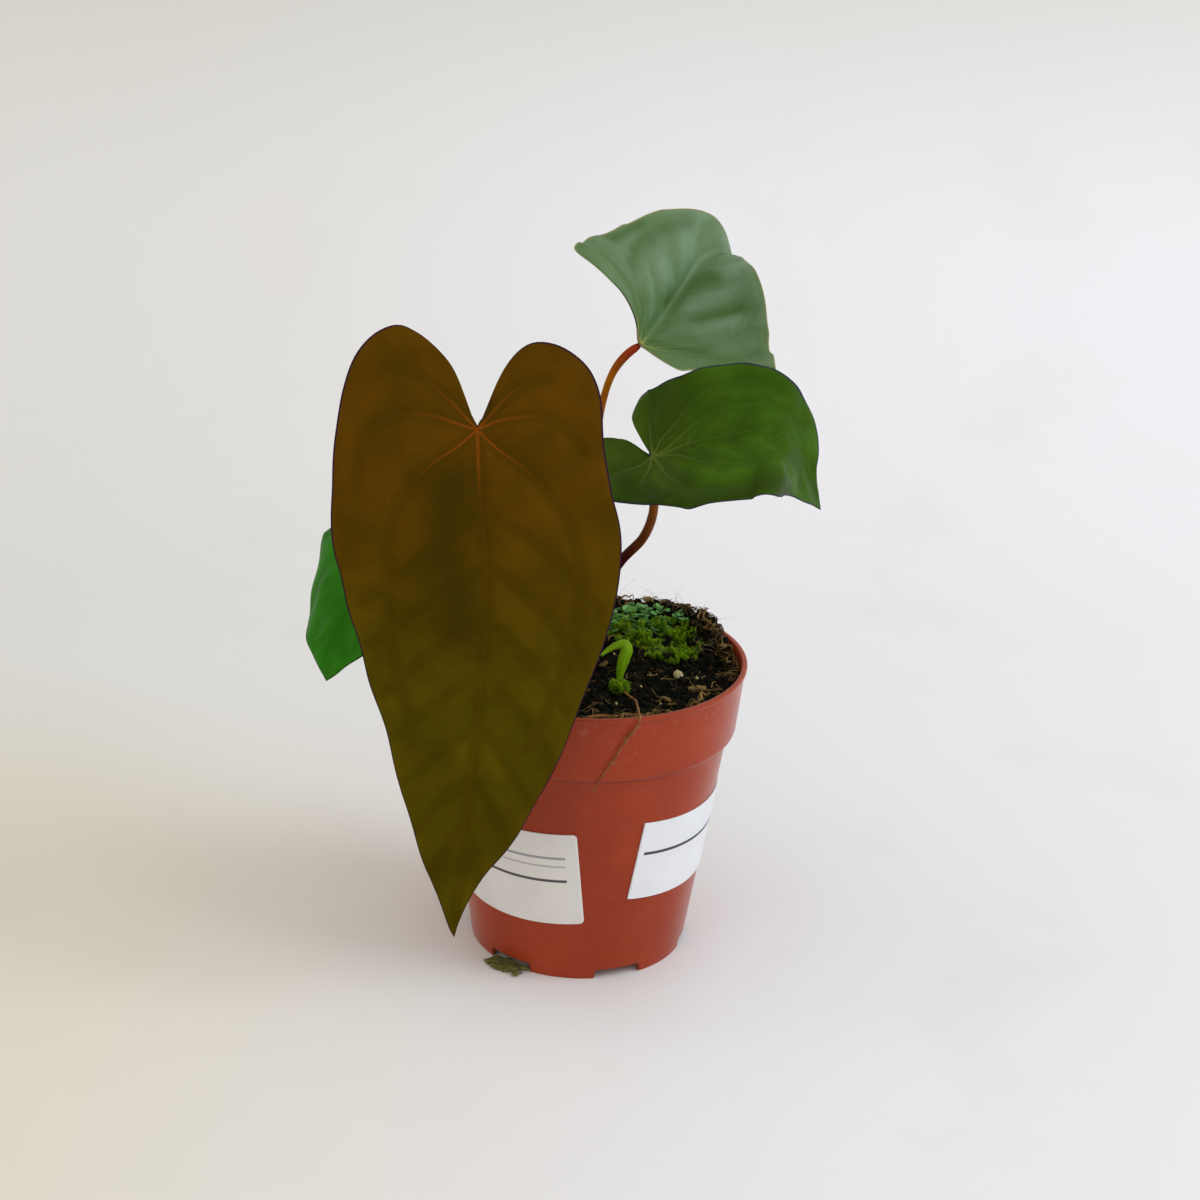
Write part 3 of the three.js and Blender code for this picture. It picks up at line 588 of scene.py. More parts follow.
def new_group(name: str, inputs: dict[str, float | tuple], outputs: dict[str, str]) -> bpy.types.NodeTree:
    """An empty node group with named sockets.

    Args:
        name: The group's name.
        inputs: For each input, its first value; a tuple makes a colour, and None a vector.
        outputs: For each output, its socket's type.

    Returns:
        The group.
    """
    group = bpy.data.node_groups.new(name, "ShaderNodeTree")
    for key, value in inputs.items():
        kind = "NodeSocketVector" if value is None else (
            "NodeSocketColor" if isinstance(value, tuple) else "NodeSocketFloat")
        socket = group.interface.new_socket(key, in_out="INPUT", socket_type=kind)
        if value is not None:
            socket.default_value = value
    for key, kind in outputs.items():
        group.interface.new_socket(key, in_out="OUTPUT", socket_type=kind)
    return group


def mottle_group() -> bpy.types.NodeTree:
    """Colour that drifts between two tones in large patches and small flecks, and a height to match.

    Returns:
        The node group.
    """
    known = bpy.data.node_groups.get("mottle")
    if known:
        return known
    group = new_group("mottle", {"Place": None, "Tone": (0.5, 0.5, 0.5, 1), "Other": (0.2, 0.2, 0.2, 1),
                                 "Patch": 60.0, "Fleck": 900.0, "Share": 0.5},
                      {"Colour": "NodeSocketColor", "Height": "NodeSocketFloat", "Mask": "NodeSocketFloat"})
    w = Wiring(group)
    given = group.nodes.new("NodeGroupInput").outputs
    taken = group.nodes.new("NodeGroupOutput").inputs
    patches = w.node("TexNoise", None, Vector=given["Place"], Scale=given["Patch"], Detail=3.0)
    flecks = w.node("TexNoise", None, Vector=given["Place"], Scale=given["Fleck"], Detail=3.0, Roughness=0.65)
    small = w.math("MULTIPLY", flecks.outputs["Fac"], 0.35)
    mask = w.math("MULTIPLY_ADD", patches.outputs["Fac"], 0.65, small)
    wide = w.math("MULTIPLY", w.span(mask, 0.36, 0.64), w.math("MULTIPLY", given["Share"], 2.0))
    w.put(w.mix(wide, given["Tone"], given["Other"]), taken["Colour"])
    w.put(flecks.outputs["Fac"], taken["Height"])
    w.put(mask, taken["Mask"])
    return group


class Finish:
    """A base for finishes: it makes the material once and keeps it by name."""

    name: str

    def material(self) -> bpy.types.Material:
        """The finish's material, made at the first call.

        Returns:
            The material.
        """
        known = bpy.data.materials.get(self.name)
        if known:
            return known
        made = bpy.data.materials.new(self.name)
        made.use_nodes = True
        made.node_tree.nodes.clear()
        w = Wiring(made.node_tree)
        shader = w.node("BsdfPrincipled")
        out = w.node("OutputMaterial")
        made.node_tree.links.new(shader.outputs[0], out.inputs["Surface"])
        self.dress(w, shader)
        return made

    def dress(self, w: Wiring, shader: bpy.types.Node) -> None:
        """Joins the finish's nodes to the shader.

        Args:
            w: Places nodes in the material.
            shader: The Principled BSDF.
        """
        raise NotImplementedError

    @staticmethod
    def settle(shader: bpy.types.Node, **values: object) -> None:
        """Sets the shader's constant inputs, with spaces in their names written as underscores."""
        for key, value in values.items():
            shader.inputs[key.replace("_", " ")].default_value = value

    @staticmethod
    def bump(w: Wiring, shader: bpy.types.Node, height: Socket, distance: float,
             strength: float = 1.0) -> None:
        """Feeds a height to the shader's normal."""
        made = w.node("Bump", None, Strength=strength, Distance=distance, Height=height)
        w.put(made.outputs[0], shader.inputs["Normal"])

    @staticmethod
    def mottle(w: Wiring, where: object, tone: object, other: object, patch: float, fleck: float,
               share: float = 0.5) -> bpy.types.Node:
        """Places the mottle group.

        Args:
            w: Places nodes in the material.
            where: The vector that it follows.
            tone: The first colour.
            other: The second colour.
            patch: Patches per metre.
            fleck: Flecks per metre.
            share: How much of the second colour.

        Returns:
            The group's node.
        """
        made = w.tree.nodes.new("ShaderNodeGroup")
        made.node_tree = mottle_group()
        for key, value in {"Place": where, "Tone": tone, "Other": other, "Patch": patch, "Fleck": fleck,
                           "Share": share}.items():
            w.put(value, made.inputs[key])
        return made


@dataclass(frozen=True)
class MouldedPlastic(Finish):
    """The pot's terracotta-coloured plastic: satin, finely grained, with a little dust and peat on it.
    The painted shadow line under the collar, the dust and the peat at the rim lie between heights in metres."""

    name: str = "moulded_plastic"
    painted_shadow_line: tuple = (0.0878, 0.0885, 0.0894, 0.09)
    dusty: tuple = (0.085, 0.112)
    rim: tuple = (0.1125, 0.1155)

    def dress(self, w: Wiring, shader: bpy.types.Node) -> None:
        """Joins the finish's nodes to the shader.

        Args:
            w: Places nodes in the material.
            shader: The Principled BSDF.
        """
        where = w.place()
        base = self.mottle(w, where, linear(160, 57, 21), linear(147, 49, 15), 28.0, 700.0, 0.5)
        height = w.node("SeparateXYZ", None, Vector=where).outputs["Z"]
        # Painted shadow: a thin dark brown line under the collar's overhang.
        upward, downward = w.span(height, *self.painted_shadow_line[:2]), w.span(height, *self.painted_shadow_line[2:], 0.72, 0.0)
        painted_shadow_line = w.math("MULTIPLY", upward, downward)
        dust = w.math("MULTIPLY", w.span(w.speckle(where, 260.0, 6.0, 0.7), 0.56, 0.74),
                      w.span(height, *self.dusty, 0.12, 0.5))
        colour = w.mix(dust, base.outputs["Colour"], linear(182, 112, 78))
        colour = w.mix(painted_shadow_line, colour, linear(62, 22, 14))
        peat = w.math("MULTIPLY", w.span(w.speckle(where, 520.0, 5.0, 0.75), 0.62, 0.70),
                      w.span(height, *self.rim, 0.0, 0.8))
        w.put(w.mix(peat, colour, linear(62, 38, 26)), shader.inputs["Base Color"])
        rough = w.math("MULTIPLY_ADD", base.outputs["Mask"], 0.25, 0.34)
        w.put(rough, shader.inputs["Roughness"])
        self.settle(shader, Specular_IOR_Level=0.26)
        facing = w.node("LayerWeight", None, Blend=0.5).outputs["Facing"]
        w.put(w.span(facing, 0.45, 0.95, 0.0, 0.9), shader.inputs["Coat Weight"])
        self.settle(shader, Coat_Roughness=0.35, Subsurface_Weight=0.06, Subsurface_Radius=(0.004,
                    0.0015, 0.0008))
        grain = w.node("TexNoise", None, Vector=where, Scale=2600.0, Detail=2.0)
        self.bump(w, shader, grain.outputs["Fac"], 0.00006, 0.55)


class LabelRuling(Enum):
    """Which plain ruled lines a label carries."""

    HEADED = "headed"
    SINGLE = "single"


@dataclass(frozen=True)
class LabelPaper(Finish):
    """White coated paper with plain ruled lines and no words."""

    name: str
    tone: tuple
    ruling: LabelRuling

    def dress(self, w: Wiring, shader: bpy.types.Node) -> None:
        """Joins the finish's nodes to the shader. The label's own map holds millimetres across and up,
        divided by 100. A line is where the height above the middle is within half a line's width of
        the line's place, between its two ends.

        Args:
            w: Places nodes in the material.
            shader: The Principled BSDF.
        """
        flat = w.node("UVMap", {"uv_map": "flat"}).outputs[0]
        axes = w.node("SeparateXYZ", None, Vector=flat)
        across = w.math("MULTIPLY", axes.outputs["X"], 100.0)
        up = w.math("MULTIPLY", axes.outputs["Y"], 100.0)
        paper = self.mottle(w, w.place(), self.tone, shade_of(self.tone, 0.93), 60.0, 1500.0)
        colour = paper.outputs["Colour"]
        lines = {
            LabelRuling.HEADED: [(9.5, 0.45, 2, 27, 150), (5.8, 0.3, 2, 27, 175), (-0.6, 0.5, -8, 27, 70)],
            LabelRuling.SINGLE: [(3.2, 0.55, -26, 24, 60)],
        }[self.ruling]
        for middle, half, start, end, grey in lines:
            near = w.span(w.math("ABSOLUTE", w.math("SUBTRACT", up, middle)), half, half + 0.18, 1.0, 0.0)
            begun = w.math("GREATER_THAN", across, start)
            inside = w.math("MULTIPLY", begun, w.math("LESS_THAN", across, end))
            colour = w.mix(w.math("MULTIPLY", near, inside), colour, linear(grey, grey, grey + 4))
        w.put(colour, shader.inputs["Base Color"])
        self.settle(shader, Roughness=0.5)
        fibre = w.node("TexNoise", None, Vector=w.place(), Scale=1800.0, Detail=4.0)
        self.bump(w, shader, fibre.outputs["Fac"], 0.00004, 0.4)


@dataclass(frozen=True)
class Peat(Finish):
    """Near-black peat that turns brown where it is dry or raised."""

    name: str = "peat"
    dark: tuple = linear(24, 22, 14)
    dry: tuple = linear(84, 62, 32)

    def dress(self, w: Wiring, shader: bpy.types.Node) -> None:
        """Joins the finish's nodes to the shader.

        Args:
            w: Places nodes in the material.
            shader: The Principled BSDF.
        """
        where = w.place()
        base = self.mottle(w, where, self.dark, linear(8, 14, 10), 160.0, 1600.0, 0.6)
        share = w.math("MULTIPLY", w.span(w.speckle(where, 600.0, 5.0, 0.7), 0.54, 0.7), w.attribute("dry"))
        w.put(w.mix(share, base.outputs["Colour"], self.dry), shader.inputs["Base Color"])
        self.settle(shader, Roughness=0.85, Specular_IOR_Level=0.06)
        self.bump(w, shader, w.speckle(where, 2400.0, 5.0, 0.7), 0.0006, 0.8)


@dataclass(frozen=True)
class Fibre(Finish):
    """Dry root, bark or husk: two woody tones that follow each piece's own number."""

    name: str
    tone: tuple
    other: tuple
    roughness: float = 0.75

    def dress(self, w: Wiring, shader: bpy.types.Node) -> None:
        """Joins the finish's nodes to the shader.

        Args:
            w: Places nodes in the material.
            shader: The Principled BSDF.
        """
        where = w.place()
        own = w.mix(w.attribute("own"), self.tone, self.other)
        base = self.mottle(w, where, own, shade_of(self.other, 0.35), 500.0, 2500.0, 0.3)
        w.put(base.outputs["Colour"], shader.inputs["Base Color"])
        self.settle(shader, Roughness=self.roughness, Specular_IOR_Level=0.1)
        self.bump(w, shader, base.outputs["Height"], 0.0003, 0.7)


@dataclass(frozen=True)
class Tissue(Finish):
    """Soft green growth, such as moss, liverwort or the new shoot, that light passes into."""

    name: str
    tone: tuple
    other: tuple
    roughness: float = 0.5
    cell: float = 1500.0
    relief: float = 0.0002

    def dress(self, w: Wiring, shader: bpy.types.Node) -> None:
        """Joins the finish's nodes to the shader.

        Args:
            w: Places nodes in the material.
            shader: The Principled BSDF.
        """
        where = w.place()
        deep = shade_of(self.tone, 0.12)
        own = w.mix(w.attribute("own"), self.tone, self.other)
        own = w.mix(w.span(w.attribute("own"), -0.7, 0.0), deep, own)
        base = self.mottle(w, where, own, shade_of(self.other, 0.55), 250.0, self.cell, 0.35)
        w.put(base.outputs["Colour"], shader.inputs["Base Color"])
        self.settle(shader, Roughness=self.roughness, Specular_IOR_Level=0.12)
        self.bump(w, shader, base.outputs["Height"], self.relief, 0.6)


@dataclass(frozen=True)
class PetioleSkin(Finish):
    """A petiole's smooth skin, which runs from a foot colour by a middle colour to a top colour."""

    name: str
    foot: tuple
    middle: tuple
    top: tuple

    def dress(self, w: Wiring, shader: bpy.types.Node) -> None:
        """Joins the finish's nodes to the shader. The attribute along is 0 at the foot and 1 at the leaf.

        Args:
            w: Places nodes in the material.
            shader: The Principled BSDF.
        """
        where = w.place()
        along = w.attribute("along")
        low = w.mix(w.span(along, 0.45, 0.78), self.foot, self.middle)
        own = w.mix(w.span(along, 0.84, 0.97), low, self.top)
        base = self.mottle(w, where, own, shade_of(self.foot, 0.6), 120.0, 2200.0, 0.25)
        w.put(base.outputs["Colour"], shader.inputs["Base Color"])
        self.settle(shader, Roughness=0.38, Specular_IOR_Level=0.07)
        self.bump(w, shader, base.outputs["Height"], 0.00012, 0.4)


@dataclass(frozen=True)
class LeafTissue(Finish):
    """A leaf's two faces. The upper face drifts between two tones along the leaf, with patches, veins
    that are warm near the petiole, a thin dark margin and a fine network of small cells. Painted
    shade darkens the valleys beside the veins and the leaf's soft dark stripes."""

    name: str
    base: tuple
    far: tuple
    patch: tuple
    vein: tuple
    vein_far: tuple
    margin: tuple
    under: tuple
    band: tuple
    roughness: float = 0.4
    specular: float = 0.05
    vein_strength: float = 0.6
    vein_reach: float = 0.35
    patch_share: float = 0.4
    edge: float = 0.9

    def dress(self, w: Wiring, shader: bpy.types.Node) -> None:
        """Joins the finish's nodes to the shader. The map flat holds millimetres across and along the
        flat leaf, divided by 100, and along runs from 0 at the petiole to 1 at the tip.

        Args:
            w: Places nodes in the material.
            shader: The Principled BSDF.
        """
        flat = w.node("UVMap", {"uv_map": "flat"}).outputs[0]
        along, vein, rim = w.attribute("along"), w.attribute("vein"), w.attribute("rim")
        drift = w.mix(w.span(along, 0.05, 0.55), self.base, self.far)
        patches = self.mottle(w, flat, drift, self.patch, 5.0, 300.0, self.patch_share)
        # Painted shade: the valleys beside the veins go towards the darker patch colour.
        sunk = w.span(w.attribute("valley"), 0.35, 1.0, 0.0, 0.35)
        valley_painted_shade = w.mix(sunk, patches.outputs["Colour"], self.patch)
        # Painted shade: the soft dark stripes, broken up by the patches.
        painted_shade_share = w.math("MULTIPLY", w.attribute("band"), w.span(patches.outputs["Mask"], 0.3, 0.6, 0.7, 1.0))
        shade = w.mix(painted_shade_share, valley_painted_shade, self.band)
        cells = w.node("TexVoronoi", {"feature": "DISTANCE_TO_EDGE"}, Vector=flat, Scale=70.0, Randomness=1.0)
        net = w.span(cells.outputs["Distance"], 0.02, 0.12, 1.0, 0.0)
        far = w.span(w.attribute("start"), 0.0, self.vein_reach)
        warm = w.mix(far, self.vein, self.vein_far)
        faint = w.span(far, 0.0, 1.0, self.vein_strength, 0.3 * self.vein_strength)
        strong = w.math("MULTIPLY", w.math("MAXIMUM", vein, w.math("MULTIPLY", net, 0.1)), faint)
        upper = w.mix(strong, shade, warm)
        edged = w.mix(w.span(rim, 0.35 * self.edge, self.edge, 1.0, 0.0), upper, self.margin)
        below = w.mix(w.math("MULTIPLY", vein, 0.6), self.under, self.vein_far)
        w.put(w.mix(w.attribute("below"), edged, below), shader.inputs["Base Color"])
        w.put(w.math("MULTIPLY_ADD", patches.outputs["Mask"], 0.2, self.roughness - 0.1),
              shader.inputs["Roughness"])
        self.settle(shader, Specular_IOR_Level=self.specular)
        fine = w.node("TexVoronoi", None, Vector=flat, Scale=520.0, Randomness=1.0)
        height = w.math("MULTIPLY_ADD", w.span(cells.outputs["Distance"], 0.0, 0.22), 0.5,
                        w.math("MULTIPLY", fine.outputs["Distance"], 0.2))
        self.bump(w, shader, height, 0.00016, 0.5)


@dataclass(frozen=True)
class StudioPaper(Finish):
    """The plain pale ground, with painted warm light at the left and painted shade towards the top."""

    name: str = "studio_paper"

    def dress(self, w: Wiring, shader: bpy.types.Node) -> None:
        """Joins the finish's nodes to the shader.

        Args:
            w: Places nodes in the material.
            shader: The Principled BSDF.
        """
        where = w.place()
        axes = w.node("SeparateXYZ", None, Vector=where)
        # Painted light: the floor and the wall are warmer and darker at the left and cooler at the right.
        across = w.span(axes.outputs["X"], -0.32, 0.12)
        floor = w.mix(across, linear(231, 223, 205), linear(236, 236, 240))
        wall = w.mix(across, linear(230, 229, 226), linear(237, 237, 241))
        tone = w.mix(w.span(axes.outputs["Y"], 0.02, 0.25), floor, wall)
        # Painted shade: darker towards the top of the sweep.
        high = w.mix(w.span(axes.outputs["Z"], 0.1, 0.4), tone, linear(211, 210, 202))
        stain = w.math("MULTIPLY", w.span(w.speckle(where, 9.0, 3.0), 0.5, 0.75), 0.25)
        w.put(w.mix(stain, high, linear(226, 222, 214)), shader.inputs["Base Color"])
        self.settle(shader, Roughness=0.8, Specular_IOR_Level=0.1)


# Pot

def finished(thing: bpy.types.Object, finish: Finish, slot: str, *nodes: str) -> bpy.types.Object:
    """Gives a piece its material and its body, and says which nodes it stands for.

    Args:
        thing: The piece.
        finish: Its finish.
        slot: The record's material slot; not used.
        nodes: The CAD nodes that it replaces.

    Returns:
        The piece.
    """
    thing.data.materials.append(finish.material())
    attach(thing, BODY)
    if nodes:
        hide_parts(*nodes)
    LOG.info("%s: %d faces", thing.name, len(thing.data.polygons))
    return thing


@dataclass
class NurseryPot:
    """The pot, its notched foot and its two labels."""

    size: PotSize = POT
    around: int = 320

    def build(self) -> list[bpy.types.Object]:
        """Makes the pot and the labels.

        Returns:
            The pieces.
        """
        # The labels are of one paper: the left one's warmer, darker tone is painted warm light, and the right
        # one's cooler tone is painted cool light.
        left = Label("plain_label_left", "label_left", azimuth=-37.4, slant=336.2, tilt=0.5, width=64,
                     height=40,
                     corner=1.8, ruling=LabelRuling.HEADED, tone=linear(226, 222, 218))
        right = Label("plain_label_right", "label_right", azimuth=58.6, slant=343, tilt=-1, width=57,
                      height=33.5,
                      corner=0.25, ruling=LabelRuling.SINGLE, tone=linear(232, 234, 238))
        return [self.body(), left.build(self.size), right.build(self.size)]

    def profile(self) -> Array:
        """The pot's section, from the middle of its underside over the rim to the middle of its floor,
        with small roundings where walls meet.

        Returns:
            Radius and height, one corner per row.
        """
        s = self.size
        bead = s.height - s.bead_height
        corners = [
            (0.01, 0, 0), (s.pad_radius, 0, 0.4), (s.pad_radius + 1, s.foot_height, 0.6),
            (s.base_radius - s.foot_width - 0.3, s.foot_height, 0.3), (s.base_radius - s.foot_width, 0, 0.2),
            (s.base_radius, 0, 0.35), (s.shoulder_radius, s.shoulder_height, 0.5),
            (s.collar_foot_radius - 0.5, s.shoulder_height + 0.75, 0.5),
            (s.collar_foot_radius, s.shoulder_height + 1.8, 0.6), (s.collar_top_radius, bead, 0.4),
            (s.rim_radius, bead + 0.35, 0.35), (s.rim_radius, s.height, 0.6),
            (s.rim_inner_radius, s.height, 0.6),
            (s.collar_foot_radius - s.wall, s.shoulder_height + 2.6, 0.5),
            (s.shoulder_radius - s.wall, s.shoulder_height + 0.9, 0.5),
            (s.base_radius + 0.7 - s.wall, s.foot_height + s.wall + 1.5, 1.0),
            (s.pad_radius + 2.2, s.foot_height + s.wall, 0.5), (s.pad_radius + 1, s.wall, 0.5),
            (0.01, s.wall, 0),
        ]
        path = []
        for i, (r, z, round_off) in enumerate(corners):
            here = np.array([r, z], float)
            if not round_off:
                path.append(here[None])
                continue
            before, after = np.array(corners[i - 1][:2], float), np.array(corners[i + 1][:2], float)
            a = here + unit(before - here) * min(round_off, np.linalg.norm(before - here) / 2.2)
            b = here + unit(after - here) * min(round_off, np.linalg.norm(after - here) / 2.2)
            t = np.linspace(0, 1, 5)[:, None]
            path.append((1 - t) ** 2 * a + 2 * t * (1 - t) * here + t ** 2 * b)
        section = np.vstack(path)
        gaps = np.linalg.norm(np.diff(section, axis=0), axis=1)
        parts = [section[:1]]
        for start, end, gap in zip(section[:-1], section[1:], gaps):
            share = np.linspace(0, 1, max(2, int(gap / 4) + 2))[1:, None]
            parts.append(start + share * (end - start))
        return np.vstack(parts)

    def body(self) -> bpy.types.Object:
        """The section turned round the axis. In a notch every point of the foot ring lower than the
        channel's ceiling is lifted to it.

        Returns:
            The pot.
        """
        s = self.size
        section = self.profile()
        steps = np.linspace(0, 2 * np.pi, self.around, endpoint=False)
        period = 2 * np.pi / s.notches
        half = s.notch_width / 2 / s.base_radius
        centre = math.radians(s.notch_azimuth)
        edges = [centre + k * period + side * half * scale for k in range(s.notches) for side in (-1, 1)
                 for scale in (0.93, 0.999)]
        azimuth = np.sort(np.concatenate([steps, np.mod(edges, 2 * np.pi)]))
        radius, height = (np.repeat(section[:, k, None], len(azimuth), 1) for k in (0, 1))
        offset = np.abs(np.mod(azimuth - centre + period / 2, period) - period / 2)
        lift = s.foot_height * (1 - smooth(half * 0.93, half * 0.999, offset))
        foot = (radius > s.base_radius - s.foot_width - 0.5) & (height < s.foot_height)
        raised = np.maximum(height, lift[None])
        wall = np.arange(len(section))[:, None] > np.argmax(section[:, 0] >= s.base_radius - 0.05)
        height = np.where(foot, raised, height)
        slope = math.tan(s.half_angle)
        radius = np.where(foot & wall, s.base_radius + raised * slope, radius)
        x, y = radius * np.sin(azimuth), -radius * np.cos(azimuth)
        wobble = 0.05 * noise(np.stack([x / 18, y / 18, height / 25], -1), 4)
        x, y = x * (1 + wobble / 60), y * (1 + wobble / 60)
        shape = Shape()
        points = np.vstack([np.stack([x, y, height], -1).reshape(-1, 3), [[0, 0, 0], [0, 0, s.wall]]])
        shape.add(points, grid_quads(*x.shape, round_columns=True), end_fans(*x.shape, x.size))
        return finished(shape.make("nursery_pot"), MouldedPlastic(), "pot", "pot")


@dataclass
class Label:
    """A paper label wrapped on the pot's cone. A point at a slant distance from the cone's apex and an
    angle in the flattened cone stands at that angle divided by the sine of the cone's half angle."""

    name: str
    node: str
    azimuth: float
    slant: float
    tilt: float
    width: float
    height: float
    corner: float
    ruling: LabelRuling
    tone: tuple
    lift: float = 0.3
    thickness: float = 0.25

    def on_cone(self, across: Array, up: Array, proud: float, size: PotSize) -> Array:
        """Places of points of the flat label on the cone.

        Args:
            across: Millimetres to the right of the label's middle.
            up: Millimetres above it.
            proud: Distance from the pot's wall.
            size: The pot's sizes.

        Returns:
            Places in millimetres.
        """
        sine, cosine = math.sin(size.half_angle), math.cos(size.half_angle)
        tilt = math.radians(self.tilt)
        flat_x = across * math.cos(tilt) - up * math.sin(tilt)
        flat_y = self.slant + across * math.sin(tilt) + up * math.cos(tilt)
        slant = np.hypot(flat_x, flat_y)
        azimuth = math.radians(self.azimuth) + np.arctan2(flat_x, flat_y) / sine
        radius = slant * sine + proud * cosine
        z = -size.base_radius / (sine / cosine) + slant * cosine - proud * sine
        return np.stack([radius * np.sin(azimuth), -radius * np.cos(azimuth), z], -1)

    def build(self, size: PotSize) -> bpy.types.Object:
        """Makes the label: a grid whose ends are drawn in at the round corners, with two faces.

        Args:
            size: The pot's sizes.

        Returns:
            The label.
        """
        half = self.height / 2
        bend = np.linspace(0, 1, 7)
        ends = half - self.corner * (1 - np.sin(bend * np.pi / 2))
        straight = np.linspace(-half + self.corner, half - self.corner, 26)[1:-1]
        heights = np.concatenate([-ends[::-1], straight, ends])
        into = np.maximum(0, np.abs(heights) - (half - self.corner))
        reach = self.width / 2 - (self.corner - np.sqrt(np.maximum(0, self.corner ** 2 - into ** 2)))
        across = np.linspace(-1, 1, 90)[None] * reach[:, None]
        up = np.broadcast_to(heights[:, None], across.shape)
        rows, columns = across.shape
        front = self.on_cone(across, up, self.lift + self.thickness, size)
        back = self.on_cone(across, up, self.lift - 0.25, size)
        flat = np.stack([across, up], -1).reshape(-1, 2) / 100
        quads = grid_quads(rows, columns)
        shape = Shape()
        shape.add(np.concatenate([front.reshape(-1, 3), back.reshape(-1, 3)]),
                  np.concatenate([quads, quads[:, ::-1] + rows * columns, self.rim(rows, columns)]),
                  flat=np.concatenate([flat, flat]))
        thing = shape.make(self.name)
        return finished(thing, LabelPaper(self.name + "_paper", self.tone, self.ruling), "label", self.node)

    @staticmethod
    def rim(rows: int, columns: int) -> Array:
        """The quads round the label's edge, from its front to its back.

        Args:
            rows: Rows of the grid.
            columns: Columns of the grid.

        Returns:
            Four point numbers per quad.
        """
        bottom = np.arange(columns)
        right = np.arange(1, rows) * columns + columns - 1
        top = (rows - 1) * columns + np.arange(columns - 2, -1, -1)
        left = np.arange(rows - 2, 0, -1) * columns
        loop = np.concatenate([bottom, right, top, left])
        after = np.roll(loop, -1)
        under = rows * columns
        return np.stack([loop, loop + under, after + under, after], -1)


# Leaves

@dataclass
class Leaf:
    """A heart-shaped leaf. It is drawn flat, x across from the midrib and y along it from the
    petiole's junction, and then bent. Across the midrib the sheet's angle is
    fold x (1 - e^(-d / fold_width)) + curl x d, summed in steps, in the frame that the midrib's curve
    and the side directions give at y. Fold is in degrees and curl in degrees a centimetre, each with a
    value for the left and the right half of the flat leaf."""

    name: str
    node: str
    midrib: list
    junction: int
    sides: list
    fold: list
    curl: list
    fold_width: float
    right: list
    left: list
    tip: float
    ripple: tuple
    finish: LeafTissue
    quilt: float = 0.5
    quilt_width: float = 3.6
    rib: float = 0.2
    laterals: int = 6
    lateral_reach: float = 0.9
    rings: int = 78
    spokes: int = 260
    slot: str = "leaf_green"
    thickness: float = 0.45
    veins: list = field(default_factory=list)
    # Stripes of painted shade on the flat leaf: a width and a line of points each.
    bands: list = field(default_factory=list)

    def __post_init__(self) -> None:
        """Works out the midrib's curve and its frames."""
        curve = soft_curve(self.midrib)
        step = np.concatenate([[0], np.cumsum(np.linalg.norm(np.diff(curve, axis=0), axis=1))])
        along = step - step[self.junction * CURVE_STEPS]
        tangent = unit(np.gradient(curve, axis=0))
        reach = 40.0
        self.along = np.concatenate([[along[0] - reach], along, [along[-1] + reach]])
        self.line = np.vstack([curve[0] - reach * tangent[0], curve, curve[-1] + reach * tangent[-1]])
        tangent = np.vstack([tangent[0], tangent, tangent[-1]])
        side = self.rows(self.sides, self.along)
        self.side = unit(side - (side * tangent).sum(-1, keepdims=True) * tangent)
        self.up = np.cross(self.side, tangent)

    @staticmethod
    def rows(table: list, at: Array) -> Array:
        """Values at places along the midrib, straight between a table's rows."""
        table = np.array(table, float)
        return np.stack([np.interp(at, table[:, 0], table[:, k]) for k in range(1, table.shape[1])], -1)

    def sheet(self, x: Array, y: Array) -> tuple[Array, Array]:
        """Points of the bent sheet.

        Args:
            x: Distances across the flat leaf.
            y: Distances along it.

        Returns:
            Places, and the directions that the upper face looks in.
        """
        def pick(values: Array) -> Array:
            """The midrib's values at y."""
            return np.stack([np.interp(y, self.along, values[:, k]) for k in range(3)], -1)

        origin, side, up = pick(self.line), unit(pick(self.side)), unit(pick(self.up))
        fold, curl = self.rows(self.fold, y), self.rows(self.curl, y)
        fold = np.radians(np.where(x < 0, fold[..., 0], fold[..., 1]))
        curl = np.radians(np.where(x < 0, curl[..., 0], curl[..., 1])) / 10
        distance = np.abs(x)
        across, rise = np.zeros_like(distance), np.zeros_like(distance)
        steps = 16
        for i in range(steps):
            d = (i + 0.5) / steps * distance
            angle = fold * (1 - np.exp(-d / self.fold_width)) + curl * d
            across += np.cos(angle) * distance / steps
            rise += np.sin(angle) * distance / steps
        edge = fold * (1 - np.exp(-distance / self.fold_width)) + curl * distance
        sign = np.where(x < 0, -1.0, 1.0)
        point = origin + (sign * across)[..., None] * side + rise[..., None] * up
        normal = np.cos(edge)[..., None] * up - (sign * np.sin(edge))[..., None] * side
        return point, normal

    def outline(self) -> Array:
        """The flat outline, from the sinus round the right half to the tip and back.

        Returns:
            x and y, one point per row.
        """
        halves = []
        for table, sign in ((self.right, 1), (self.left, -1)):
            points = np.array([[0, -1.5], *table, [0, self.tip]], float) * [sign, 1]
            halves.append(evenly(soft_curve(points), self.spokes // 2 + 1))
        return np.vstack([halves[0], halves[1][1:-1][::-1]])

    def vein_lines(self) -> list[tuple[Array, float]]:
        """The veins on the flat leaf: the midrib, those given, and those that leave the midrib on each
        side and sweep towards the tip, as far as the first given vein or the margin.

        Returns:
            For each vein its line, x and y per row, and its width at the start.
        """
        lines = [(np.column_stack([np.zeros(60), np.linspace(0, self.tip * 0.99, 60)]), 1.35)]
        for table in self.veins:
            lines.append((soft_curve([(0, 0), *table], 12), 1.0))
        for sign, table in ((1, self.right), (-1, self.left)):
            margin = np.array([*table, (0, self.tip)], float)
            margin = margin[int(np.argmax(margin[:, 0])):]
            for k in range(self.laterals):
                start = self.tip * (0.16 + 0.7 * k / self.laterals)
                reach = self.tip * 0.17 * (1 - 0.4 * k / self.laterals)
                share = np.linspace(0, 1, 40)
                edge = np.interp(start + reach, margin[:, 1], margin[:, 0])
                x = sign * self.lateral_reach * edge * share
                lines.append((np.column_stack([x, start + reach * share ** 1.35]), 0.6))
        return lines

